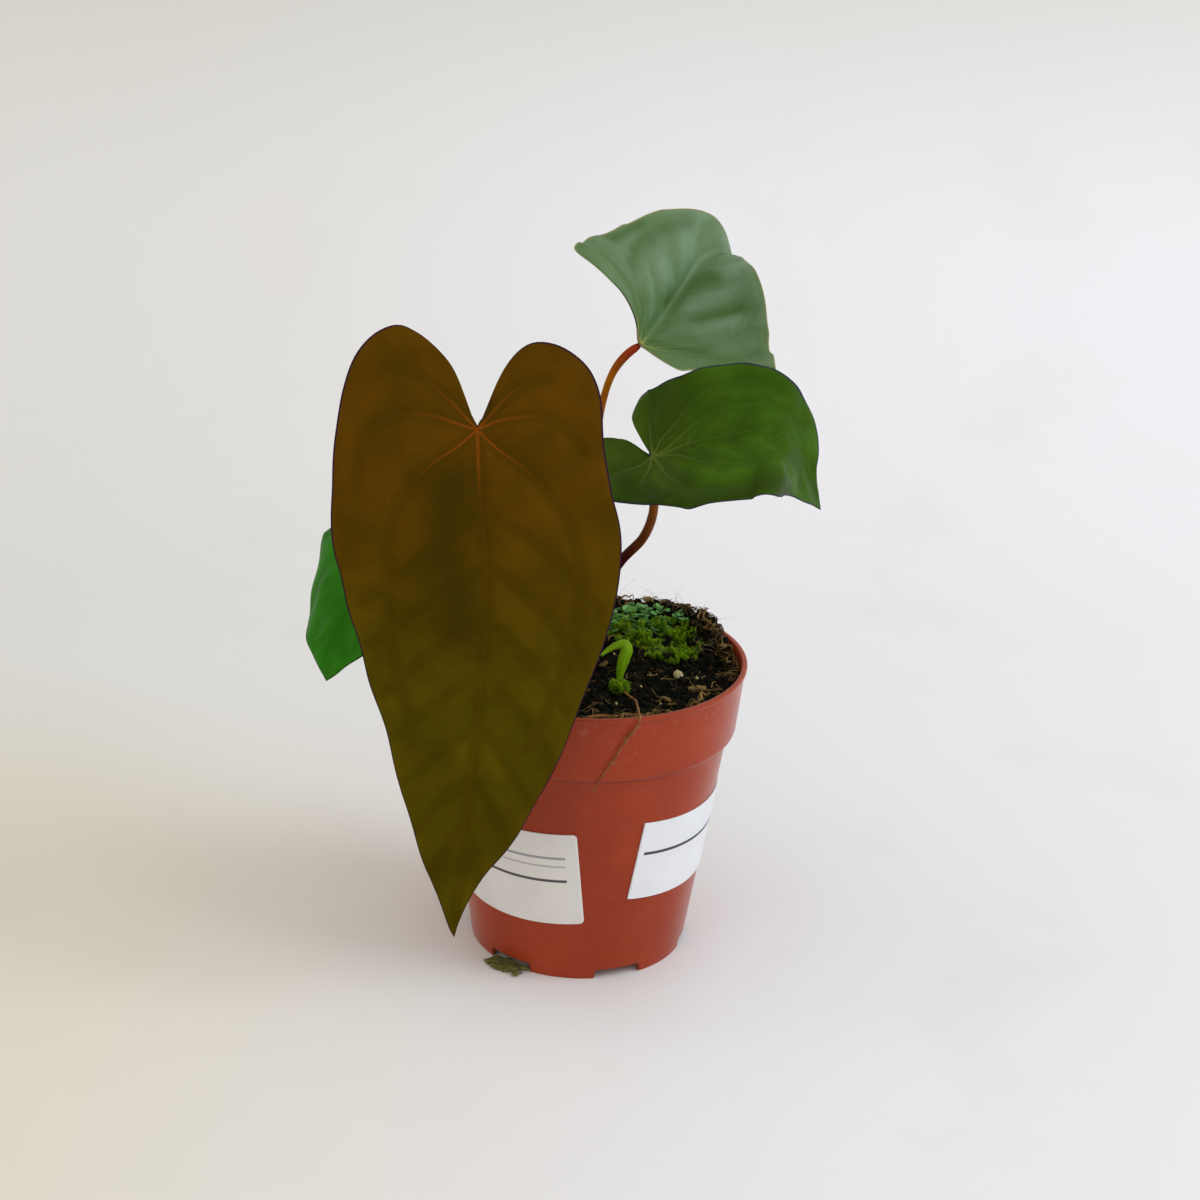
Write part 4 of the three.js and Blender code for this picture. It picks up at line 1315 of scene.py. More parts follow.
    def relief(self, x: Array, y: Array, lines: list[tuple[Array, float]]) -> tuple[Array, Array, Array]:
        """The sheet's own relief: a valley along each vein, e^(-(d / w)^2), with the blade arched
        between veins.

        Args:
            x: Places across the flat leaf.
            y: Places along it.
            lines: The veins.

        Returns:
            Heights, how strongly a vein shows, from 0 to 1, and how deep in a valley a place is.
        """
        nearest = np.full(x.shape, 1e3)
        shown = np.zeros(x.shape)
        for line, width in lines:
            points = evenly(line, 26)
            length = np.linspace(1, 0.4, 25)
            for a, b, taper in zip(points[:-1], points[1:], length):
                ab = b - a
                t = np.clip(((x - a[0]) * ab[0] + (y - a[1]) * ab[1]) / (ab @ ab + 1e-9), 0, 1)
                d = np.hypot(x - a[0] - t * ab[0], y - a[1] - t * ab[1])
                nearest = np.minimum(nearest, d)
                shown = np.maximum(shown, taper * min(1.0, width) * np.exp(-(d / (0.38 * width)) ** 2))
        valley = np.exp(-(nearest / self.quilt_width) ** 2)
        return self.quilt * (0.5 - valley), shown, valley

    def shaded(self, x: Array, y: Array) -> Array:
        """How dark the painted shade is at each place under its soft dark stripes, e^(-(d / width)^2) from
        each stripe's line.

        Args:
            x: Places across the flat leaf.
            y: Places along it.

        Returns:
            The darkness, from 0 to 1.
        """
        dark = np.zeros(x.shape)
        for width, table in self.bands:
            line = evenly(soft_curve(table, 8), 24)
            d = np.hypot(x[:, None] - line[:, 0], y[:, None] - line[:, 1]).min(1)
            dark = np.maximum(dark, np.exp(-(d / width) ** 2))
        return dark

    def lift(self, x: Array, y: Array, share: Array, quilt: Array) -> Array:
        """How far the upper face stands off the bent sheet: a wave that grows as the cube of the share
        of the way to the margin, the veins' relief and a fine unevenness.

        Args:
            x: Places across the flat leaf.
            y: Places along it.
            share: Their shares of the way from the junction to the margin.
            quilt: The veins' relief there.

        Returns:
            Heights in millimetres.
        """
        height, phase, wave = self.ripple
        waved = height * share ** 3 * np.sin(2 * np.pi * y / wave + phase + np.where(x < 0, 2, 0))
        near = smooth(0, 5, np.hypot(x, y))
        fade = np.maximum(near * smooth(0, 0.06, 1 - share), 0.35 * near)
        fine = 0.12 * cloud(np.column_stack([x / 6, y / 6, np.zeros_like(x)]), 3, 5)
        return waved * smooth(0, 2, np.abs(x)) + (quilt + fine) * fade

    def build(self) -> bpy.types.Object:
        """Makes the leaf: rings about the junction, which follow the outline at growing shares of its
        distance, with two faces, a closed rim and a rib along each vein on both faces.

        Returns:
            The leaf.
        """
        outline = self.outline()
        shares = np.linspace(0, 1, self.rings + 1)[1:] ** 0.85
        flat = np.vstack([[0, 0], (shares[:, None, None] * outline[None]).reshape(-1, 2)])
        share = np.concatenate([[0], np.repeat(shares, len(outline))])
        x, y = flat[:, 0], flat[:, 1]
        lines = self.vein_lines()
        quilt, shown, valley = self.relief(x, y, lines)
        point, normal = self.sheet(x, y)
        upper = point + self.lift(x, y, share, quilt)[:, None] * normal
        thin = 0.35 + 0.65 * smooth(0, 0.05, 1 - share)
        lower = upper - (self.thickness * thin)[:, None] * normal
        around, rings = len(outline), len(shares)
        k = np.arange(around)
        fan = np.stack([np.zeros(around, int), 1 + k, 1 + (k + 1) % around], -1)
        quads = grid_quads(rings, around, round_columns=True) + 1
        quads = quads[:, ::-1]
        under = len(flat)
        edge = 1 + (rings - 1) * around
        a, b = edge + k, edge + (k + 1) % around
        rim = np.stack([a, a + under, b + under, b], -1)
        distance = (1 - share) * np.concatenate([[50], np.tile(np.hypot(*outline.T), rings)])

        def both(values: Array) -> Array:
            """The same values for the upper face and the lower."""
            return np.concatenate([values, values])

        shape = Shape()
        shape.add(np.vstack([upper, lower]), np.vstack([quads, quads[:, ::-1] + under, rim]),
                  np.vstack([fan, fan[:, ::-1] + under]),
                  flat=both(flat / 100), along=both(np.clip(y / self.tip, 0, 1)), vein=both(shown),
                  rim=both(distance), start=both(np.hypot(x, y) / self.tip), valley=both(valley),
                  band=both(self.shaded(x, y)), below=np.repeat([0, 1], under))
        self.add_ribs(shape, lines)
        return finished(shape.make(self.name), self.finish, self.slot, self.node)

    def add_ribs(self, shape: Shape, lines: list[tuple[Array, float]]) -> None:
        """Adds a slim rib along each vein, half sunk in each face, that thins towards its end.

        Args:
            shape: Where the ribs go.
            lines: The veins.
        """
        outline = self.outline()
        turn = np.arctan2(*outline.T[::-1])
        for line, width in lines:
            steps = 48
            at = evenly(line, steps)
            quilt, _, _ = self.relief(at[:, 0], at[:, 1], lines)
            point, normal = self.sheet(at[:, 0], at[:, 1])
            taper = np.linspace(1, 0.22, steps)
            reach = np.interp(np.arctan2(at[:, 1], at[:, 0]), turn, np.hypot(*outline.T), period=2 * np.pi)
            share = np.clip(np.hypot(*at.T) / reach, 0, 1)
            for below, size in ((0.0, self.rib), (1.0, 0.45)):
                depth = self.lift(*at.T, share, quilt) - below * self.thickness
                path = point + depth[:, None] * normal
                add_tubes(shape, path[None], (size * width * taper)[None], sides=8, flat=0.55,
                          facing=normal[None], along=np.clip(at[:, 1] / self.tip, 0, 1), vein=0.9 * taper,
                          rim=9.0, below=below, start=np.hypot(*at.T) / self.tip, valley=0.0,
                          band=self.shaded(*at.T))
                self.copy_flat(shape, at)

    @staticmethod
    def copy_flat(shape: Shape, at: Array) -> None:
        """Gives the rib just added its flat coordinates."""
        around = np.repeat(at, 8, axis=0)
        shape.values["flat"].append(np.vstack([around, at[:1], at[-1:]]) / 100)


BRONZE = LeafTissue(
    "bronze_leaf", base=linear(93, 60, 2), far=linear(84, 72, 2), patch=linear(58, 46, 1),
    vein=linear(156, 74, 20), vein_far=linear(106, 67, 4), margin=linear(46, 20, 44),
    under=linear(96, 84, 40), band=linear(58, 45, 1), roughness=0.6, specular=0.02, vein_strength=0.6,
    vein_reach=0.2, patch_share=0.3)
FOREST = LeafTissue(
    "forest_leaf", base=linear(66, 95, 4), far=linear(60, 98, 10), patch=linear(42, 64, 1),
    vein=linear(126, 138, 60), vein_far=linear(100, 128, 62), margin=linear(44, 40, 66),
    under=linear(110, 132, 70), band=linear(42, 62, 1), roughness=0.42, specular=0.06, vein_strength=0.5,
    patch_share=0.35)
# The top leaf's green with a painted sheen: its base and far tones are blue-grey and lighter towards the tip,
# a painted reflection of the bright room.
SHEEN_PAINTED_GREEN = LeafTissue(
    "green_leaf_painted_sheen", base=linear(88, 116, 74), far=linear(108, 136, 104), patch=linear(66, 98, 34),
    vein=linear(200, 184, 84), vein_far=linear(124, 152, 116), margin=linear(124, 130, 76),
    under=linear(126, 118, 70), band=linear(60, 92, 30), roughness=0.42, specular=0.3, vein_strength=0.6,
    vein_reach=0.24, patch_share=0.35)
SPRING = LeafTissue(
    "spring_leaf", base=linear(46, 132, 4), far=linear(42, 120, 4), patch=linear(32, 92, 1),
    vein=linear(110, 160, 70), vein_far=linear(80, 150, 50), margin=linear(40, 74, 20),
    under=linear(96, 136, 70), band=linear(32, 84, 1), roughness=0.4, specular=0.06, vein_strength=0.5,
    patch_share=0.35)


def leaves() -> list[Leaf]:
    """The four leaves, with their places, outlines and finishes.

    Returns:
        The leaves.
    """
    front = Leaf(
        "leaf_blade_front", "leaf_front",
        midrib=[(-41.5, -43, 246.5), (-41, -50, 233), (-40.5, -57, 220.5), (-38.5, -66.5, 198.5),
                (-35.5, -74, 176),
                (-35, -79, 158), (-36, -83, 135.5), (-37.5, -86, 112.5), (-39.5, -87.5, 94),
                (-41.5, -88.5, 72),
                (-43, -88, 41.5)],
        junction=2, sides=[(-40, -1, 0.05, 0.04), (0, -1, 0.05, 0.04), (185, -1, 0.1, 0.04)],
        fold=[(-40, 10, 10), (0, 9, 9), (60, 7, 7), (185, 4, 4)], curl=[(-40, -3.4, -3.4), (185, -1.7, -1.7)],
        fold_width=4.0,
        right=[(0.8, -3), (3.5, -8.5), (6, -16), (9.5, -22.5), (15.5, -29), (21, -33.3), (27.5, -36),
               (34.5, -33.5),
               (41, -26.5), (46, -15), (48, -1), (50.3, 15), (51.5, 31), (50, 50), (45.5, 70), (40, 86.5),
               (33.5, 102.5), (27.5, 119.5), (21.5, 135), (14.5, 151), (7.5, 167.5), (2, 180)],
        left=[(0.8, -3), (3.2, -5.5), (5, -11), (6.5, -16.5), (9.5, -22.5), (14, -27.5), (19, -30),
              (26, -29.5),
              (33, -26), (38.5, -20.5), (42, -11), (43, 5), (45, 25.5), (46.8, 40), (45, 53), (41.5, 68),
              (36.5, 84), (30.5, 106.5), (24, 125), (20, 137), (15, 147.5), (9.5, 157), (4, 169), (1.2, 178)],
        tip=184, ripple=(1.1, 0.9, 30), finish=BRONZE, slot="leaf_bronze", rings=98, spokes=280, laterals=7,
        quilt=0.7, rib=0.12,
        bands=[(11, [(9, 18), (13, 32), (13, 50), (10, 68)])],
        veins=[
            [(-6.3, 6.5), (-12, 10.9), (-17.6, 16.1), (-22.4, 22.2), (-26.3, 28.2), (-29.3, 34.6),
             (-31.3, 41.4), (-31.8, 47.2), (-30.7, 66), (-26, 86), (-18, 108)],
            [(8.4, 6.7), (14.3, 9.9), (19.5, 14.3), (24.9, 18.7), (28.5, 24.7), (31.7, 30.7), (33.4, 37.7),
             (33.8, 48.8), (33.4, 66.3), (30, 84), (23, 104)],
            [(8.3, -2.6), (14, -4.4), (20.5, -5.3), (27.1, -4.9), (32.9, -3.1), (38, 1.2), (41.3, 13.3)],
            [(5.4, -5.9), (11.3, -11.6), (17.4, -16.1), (24, -20), (31, -21)],
            [(-6.5, -2.8), (-11.6, -3.8), (-18.1, -4.4), (-23.9, -3.9), (-31, 0.7), (-35.8, 9.2)],
            [(-5, -6), (-10, -11.5), (-16, -15.5), (-23, -17)],
        ])
    top = Leaf(
        "leaf_blade_top", "leaf_top",
        midrib=[(11, -12, 244.5), (12.5, -0.5, 237.5), (14.5, 11.5, 234), (17.5, 26, 233.5),
                (23, 39.5, 237.5),
                (29, 51.5, 244), (35.5, 63, 251.5), (43.5, 75, 254.5), (51, 85.5, 247.5)],
        junction=2,
        sides=[(-26, 0.71, -0.48, -0.51), (0, 0.75, -0.22, -0.63), (30, 0.8, -0.11, -0.59),
               (60, 0.83, -0.11, -0.55),
               (75, 0.58, -0.5, -0.64), (90, 0.31, -0.85, -0.42)],
        fold=[(-25, 40, -8), (0, 50, 21), (91, 37, 34)], curl=[(-25, -15.5, 5.8), (91, -15.5, 5.8)],
        fold_width=1.0,
        right=[(1, -2.5), (5.5, -6.5), (13, -10.8), (18.5, -11.4), (20.8, -7.5), (23.1, -5.3), (25.9, -3.5),
               (29.1, -1.6), (33.8, -0.4), (39.3, -0.6), (44, -1.7), (47.6, -3.1), (50.3, -3.5), (51, -2.2),
               (50.3, -0.3), (47.7, 11.9), (42.8, 29.5), (38, 40), (34.5, 47), (29.2, 56.2), (21.5, 66.4),
               (14, 73), (8, 79.5), (2.5, 86.5)],
        left=[(1, -2.5), (5, -3.6), (9.5, -3), (13, -3.6), (16.5, -5.5), (20.5, -9.6), (25.4, -13.1),
              (30.6, -13.8),
              (35.4, -13.4), (39.5, -12.3), (43, -9.5), (44.8, -4), (44.6, 6), (43.6, 17), (42.6, 25.2),
              (40.2, 32.7),
              (36.5, 41), (33.3, 48.6), (29.9, 55), (26.1, 60), (21.3, 66.2), (17.6, 70.6), (14.3, 74.1),
              (11.3, 77.4), (8, 81.5), (4, 86)],
        tip=90, ripple=(0.5, 0.5, 26), finish=SHEEN_PAINTED_GREEN, quilt=1.0, quilt_width=4.5, laterals=4, lateral_reach=0.6,
        bands=[
            (3.6, [(-23.5, 28), (-25.9, 36.5), (-25.8, 44), (-23, 53), (-19.7, 58), (-15, 65.5)]),
            (3, [(-35.7, 35), (-32.3, 43), (-28.8, 51.6)]), (4, [(-1, 36), (1.5, 45), (4, 51), (8, 56)]),
            (3, [(3.8, 9.7), (11, 11.8), (20.5, 12.1)]), (3.6, [(12.6, 34.8), (19.2, 40.3), (25.9, 44)])],
        veins=[
            [(-3, 9), (-9, 20), (-17, 30), (-23, 39), (-24, 48)],
            [(-7, 5), (-16, 12), (-26, 16), (-35, 14)],
            [(10, 6), (20, 9), (30, 10), (38, 13)],
            [(7, 9), (15, 17), (24, 25), (30, 34), (30, 43)],
        ])
    right = Leaf(
        "leaf_blade_right", "leaf_right",
        midrib=[(-5, -12, 193.5), (8, -15, 197.6), (20, -18, 201), (33, -21, 208), (47, -24, 212.5),
                (59, -26, 215.5), (67, -27, 214), (72, -26, 207.5), (76, -24, 197), (81.5, -20, 184)],
        junction=2,
        sides=[(-30, -0.1, -0.95, -0.31), (0, 0, -0.95, -0.31), (40, 0, -0.95, -0.31),
               (60, -0.2, -0.93, -0.31),
               (75, -0.5, -0.83, -0.1)],
        fold=[(-30, 2, 12), (-14, 5, 8), (-7, 18, 6), (0, 26, 4), (12, 31, 4),
              (20, 34, 4), (40, 32, 3.3), (62, 18, 2.5), (75, 7, 2)],
        curl=[(-30, 0, -4.6), (75, 0, -3.4)], fold_width=4.0,
        right=[(-1, -1.3), (-3.3, -3.7), (-7, -7.8), (-12.7, -14.4), (-15.3, -19.9), (-12.3, -26.9),
               (-4.3, -30.5), (4.7, -30.5), (17.5, -25.5), (22, -18), (24.1, -9.7), (25, -5.5), (27.5, 1),
               (32.2, 8.5), (35.9, 17), (36.3, 26.4), (36.3, 33.4), (35.8, 50.9), (27, 60), (13.4, 69.7),
               (6.8, 76.6), (2, 82.5)],
        left=[(3, -1.5), (8.1, -4.7), (17.4, -9.3), (22.4, -10.2), (27.7, -7.3), (27.9, -0.8), (27.4, 5.3),
              (27.4, 7.8), (27.4, 10.3), (27.1, 12.8), (26.7, 15.5), (27.6, 22.3), (27.3, 36.1), (25, 41.4),
              (24.1, 43.8), (20.6, 48.8), (17.4, 52), (15.6, 58), (10.5, 64.8), (4.8, 72.5), (2.6, 81)],
        tip=85.5, ripple=(0.6, 0.7, 24),
        finish=FOREST, quilt=1.3, quilt_width=4.0, laterals=4, lateral_reach=0.5,
        bands=[(6, [(31, 12), (34, 30), (31, 50), (24, 62)]), (5, [(12, -8), (20, -4), (26, 6)])],
        veins=[
            [(-3.2, 8.8), (-7.5, 17), (-9.7, 21.6), (-11, 28), (-11.3, 34.4), (-10.6, 41), (-8.5, 49),
             (-5, 58)],
            [(-5.7, 2.8), (-10.2, 10.5), (-15.8, 16.6), (-19.2, 22.3), (-20.4, 30), (-19.5, 38), (-16, 45)],
            [(-8, -1), (-16, -1), (-22, 2), (-24, 8)],
            [(3, 8), (9, 15), (13, 21), (15.5, 28), (17.5, 36), (16, 44), (12, 52), (7, 60)],
            [(6, 3), (14, 6), (22, 12), (27, 20), (29, 30), (27, 40)],
            [(8, -1), (15, -2.5), (20, -1)],
            [(4, -5), (7, -12), (9, -19)],
        ])
    small = [(0.8, -2.5), (4, -5), (9.5, -9), (16, -11.8), (23, -11.8), (29.3, -9), (32.9, -3.2), (32.9, 4),
             (31.7, 12), (30, 19.5), (26.5, 26.5), (21.5, 32.5), (16, 38), (10, 43), (5, 48)]
    left = Leaf(
        "leaf_blade_left", "leaf_left",
        midrib=[(-73.5, -5, 170.5), (-76.5, -9, 164), (-79.5, -12.5, 158), (-84.5, -18, 146), (-89, -24, 134),
                (-94.5, -31.5, 123.5), (-95, -32, 112)],
        junction=2, sides=[(-16, -0.78, 0.62, 0.03), (0, -0.79, 0.62, 0.03), (28, -0.8, 0.6, 0.01),
                           (55, -0.76, 0.65, 0)],
        fold=[(-25, 10, 2), (0, 20, 17), (54, -5, -8)], curl=[(-25, 1.7, -16.5), (54, 1.7, -16.5)],
        fold_width=4.0,
        right=small, left=small, tip=52, ripple=(0.4, 0.4, 18),
        finish=SPRING, quilt=0.7, laterals=3, lateral_reach=0.5,
        rings=56, spokes=180,
        veins=[[(side * x, y) for x, y in line] for side in (1, -1) for line in (
            [(5, -3), (12, -6), (20, -6), (27, -1)], [(9, 3), (17, 8), (23, 16), (24, 25)],
            [(5, 8), (10, 17), (13, 26), (11, 36)])])
    return [front, top, right, left]


# Petioles, crown and shoot

@dataclass
class Petiole:
    """A leaf's stalk, from its socket in the crown up to the leaf's junction."""

    name: str
    node: str
    leaf: Leaf
    socket: float
    radii: tuple
    short: float
    route: list
    skin: PetioleSkin
    drop: float = 0.43
    joint_at: float = 0.94
    joint_width: float = 0.05
    steps: int = 120

    def build(self) -> bpy.types.Object:
        """Makes the petiole: a round tube that thins over three quarters of its length, swells in a joint
        just under the leaf, e^(-((s - joint_at) / joint_width)^2), with slight swellings along it.

        Returns:
            The petiole.
        """
        point, normal = self.leaf.sheet(np.array([0.0]), np.array([0.0]))
        end = point[0] - normal[0] * (self.drop + self.short)
        azimuth = math.radians(self.socket)
        foot = CROWN_XY + SOCKET_REACH * np.array([math.cos(azimuth), math.sin(azimuth)])
        route = [(*foot, CROWN_TOP - SOCKET_DEPTH + 0.3), (*foot, CROWN_TOP + 1), *self.route, tuple(end)]
        path = evenly(soft_curve(route), self.steps)
        share = np.linspace(0, 1, len(path))
        low, middle, joint = self.radii
        radius = np.where(share < 0.75, low + (middle - low) * share / 0.75, middle)
        swell = np.exp(-((share - self.joint_at) / self.joint_width) ** 2)
        radius = radius + max(0.0, joint - middle) * swell
        radius = radius * (1 + 0.03 * noise(np.column_stack([share * 40, share * 0, share * 0]), 3))
        radius = radius * (1 - 0.35 * smooth(0.985, 1, share))
        shape = Shape()
        add_tubes(shape, path[None], radius[None], sides=24, along=share[None])
        return finished(shape.make(self.name), self.skin, "petiole", self.node)


@dataclass
class Crown:
    """The short stem that bears the petioles, with dry sheaths round it."""

    def build(self) -> bpy.types.Object:
        """Makes the crown: a turned stub with ring scars, and leaning pointed sheaths round it.

        Returns:
            The crown.
        """
        profile = np.array([(0.05, CROWN_FOOT), (6.0, CROWN_FOOT), (7.1, CROWN_FOOT + 4),
                            (7.1, CROWN_TOP - 8),
                            (6.5, CROWN_TOP - 3), (4.5, CROWN_TOP - 0.4), (0.05, CROWN_TOP)])
        section = evenly(profile, 50)
        turn = np.linspace(0, 2 * np.pi, 72, endpoint=False)
        scars = 0.25 * np.sin(section[:, 1] * 2.1)[:, None]
        x, y = np.cos(turn)[None], np.sin(turn)[None]
        rough = 0.35 * cloud(np.stack(np.broadcast_arrays(x * 3, y * 3, section[:, 1, None] / 3), -1), 3, 2)
        radius = section[:, :1] + (scars + rough) * smooth(0.5, 4, section[:, :1])
        points = np.stack([CROWN_XY[0] + radius * x, CROWN_XY[1] + radius * y,
                           np.broadcast_to(section[:, 1:], radius.shape)], -1)
        points = np.vstack([points.reshape(-1, 3), [[*CROWN_XY, CROWN_FOOT], [*CROWN_XY, CROWN_TOP]]])
        shape = Shape()
        shape.add(points, grid_quads(*radius.shape, round_columns=True), end_fans(*radius.shape, radius.size),
                  own=np.full(len(points), 0.3))
        for i, azimuth in enumerate((30, 120, 205, 300)):
            turn = math.radians(azimuth)
            way = np.array([math.cos(turn), math.sin(turn)])
            reach = np.array([0.7, 0.95, 1.15, 1.5]) * CROWN_RADIUS
            heights = CROWN_TOP + np.array([-9, 0, 8, 15 - 3 * i])
            route = np.column_stack([CROWN_XY + reach[:, None] * way, heights])
            path = evenly(soft_curve(route), 30)
            share = np.linspace(0, 1, 30)
            facing = np.tile([way[0], way[1], 0.0], (30, 1))
            add_tubes(shape, path[None], (3.4 * (1 - share) ** 0.6 + 0.1)[None], sides=14, flat=0.14,
                      facing=facing[None], own=0.8)
        skin = Fibre("crown_skin", linear(104, 104, 48), linear(150, 118, 70), 0.6)
        return finished(shape.make("crown_stem"), skin, "crown", "crown")


@dataclass
class Shoot:
    """The new shoot: a rolled young leaf that rises, broadens and bends over to the left."""

    route: tuple = ((12, -13.5, 106), (12.2, -13.5, 114), (13.4, -13.2, 120), (14.2, -13, 123.6),
                    (13.3, -13, 125.6), (10.5, -13.4, 125.3), (7.4, -13.9, 123.6), (4.8, -14.5, 121.4))
    widths: tuple = (0.9, 1.1, 1.6, 2.3, 2.4, 1.8, 1.2, 0.5)

    def build(self) -> bpy.types.Object:
        """Makes the shoot: a flattened tube whose width follows a short table, furrowed along the side
        where the leaf is rolled.

        Returns:
            The shoot.
        """
        path = evenly(soft_curve(self.route), 80)
        share = np.linspace(0, 1, 80)
        width = np.interp(share, np.linspace(0, 1, len(self.widths)), self.widths)
        facing = np.tile([0.25, -0.97, 0.0], (80, 1))
        shape = Shape()
        add_tubes(shape, path[None], width[None], sides=28, flat=0.42, facing=facing[None],
                  own=(0.15 + 0.6 * share)[None])
        fold = path + [0.25, -0.75, 0.1] * (0.42 * width[:, None] + 0.02)
        add_tubes(shape, fold[None, 6:70], 0.28, sides=6, own=1.0)
        skin = Tissue("shoot_skin", linear(90, 148, 4), linear(152, 196, 30), 0.4, 2200.0, 0.0001)
        return finished(shape.make("young_shoot"), skin, "shoot", "new_shoot")


def stalks(blades: list[Leaf]) -> list[Petiole]:
    """The four petioles.

    Args:
        blades: The leaves, in their usual order.

    Returns:
        The petioles.
    """
    front, top, right, left = blades
    ochre = PetioleSkin("petiole_ochre", linear(124, 70, 12), linear(176, 104, 2), linear(158, 48, 16))
    chestnut = PetioleSkin("petiole_chestnut", linear(72, 24, 18), linear(146, 82, 24), linear(172, 98, 28))
    russet = PetioleSkin("petiole_russet", linear(84, 26, 16), linear(104, 36, 20), linear(168, 92, 22))
    fresh = PetioleSkin("petiole_fresh", linear(100, 90, 20), linear(112, 122, 30), linear(110, 130, 40))
    return [
        Petiole("stalk_front", "petiole_front", front, 250, (2, 1.6, 1.9), 0.7,
                [(-8, -3, 145), (-20, -20, 180), (-33, -38, 206)], russet),
        Petiole("stalk_top", "petiole_top", top, 85, (1.9, 1.35, 1.6), 0.45,
                [(-2.5, 9, 150), (-1, 8.5, 185), (1.5, 8, 212.5), (5, 8.5, 224), (9.5, 10, 230)], ochre),
        Petiole("stalk_right", "petiole_right", right, 350, (2, 1.7, 2.1), 0.35,
                [(4.5, 1, 142), (11, -5, 156), (18.5, -9.5, 167), (21.5, -12.5, 178), (20.8, -14.5, 190)],
                chestnut),
        Petiole("stalk_left", "petiole_left", left, 165, (1.5, 1.1, 1.3), 0.8,
                [(-17, 10, 140), (-38, 10, 156), (-60, 4, 162), (-72, -4, 160)], fresh),
    ]


# Soil and what lies on it

# A bark chip's length, width and thickness, as shares of its size.
CHIP_SHAPE = np.array([1.5, 0.75, 0.32])


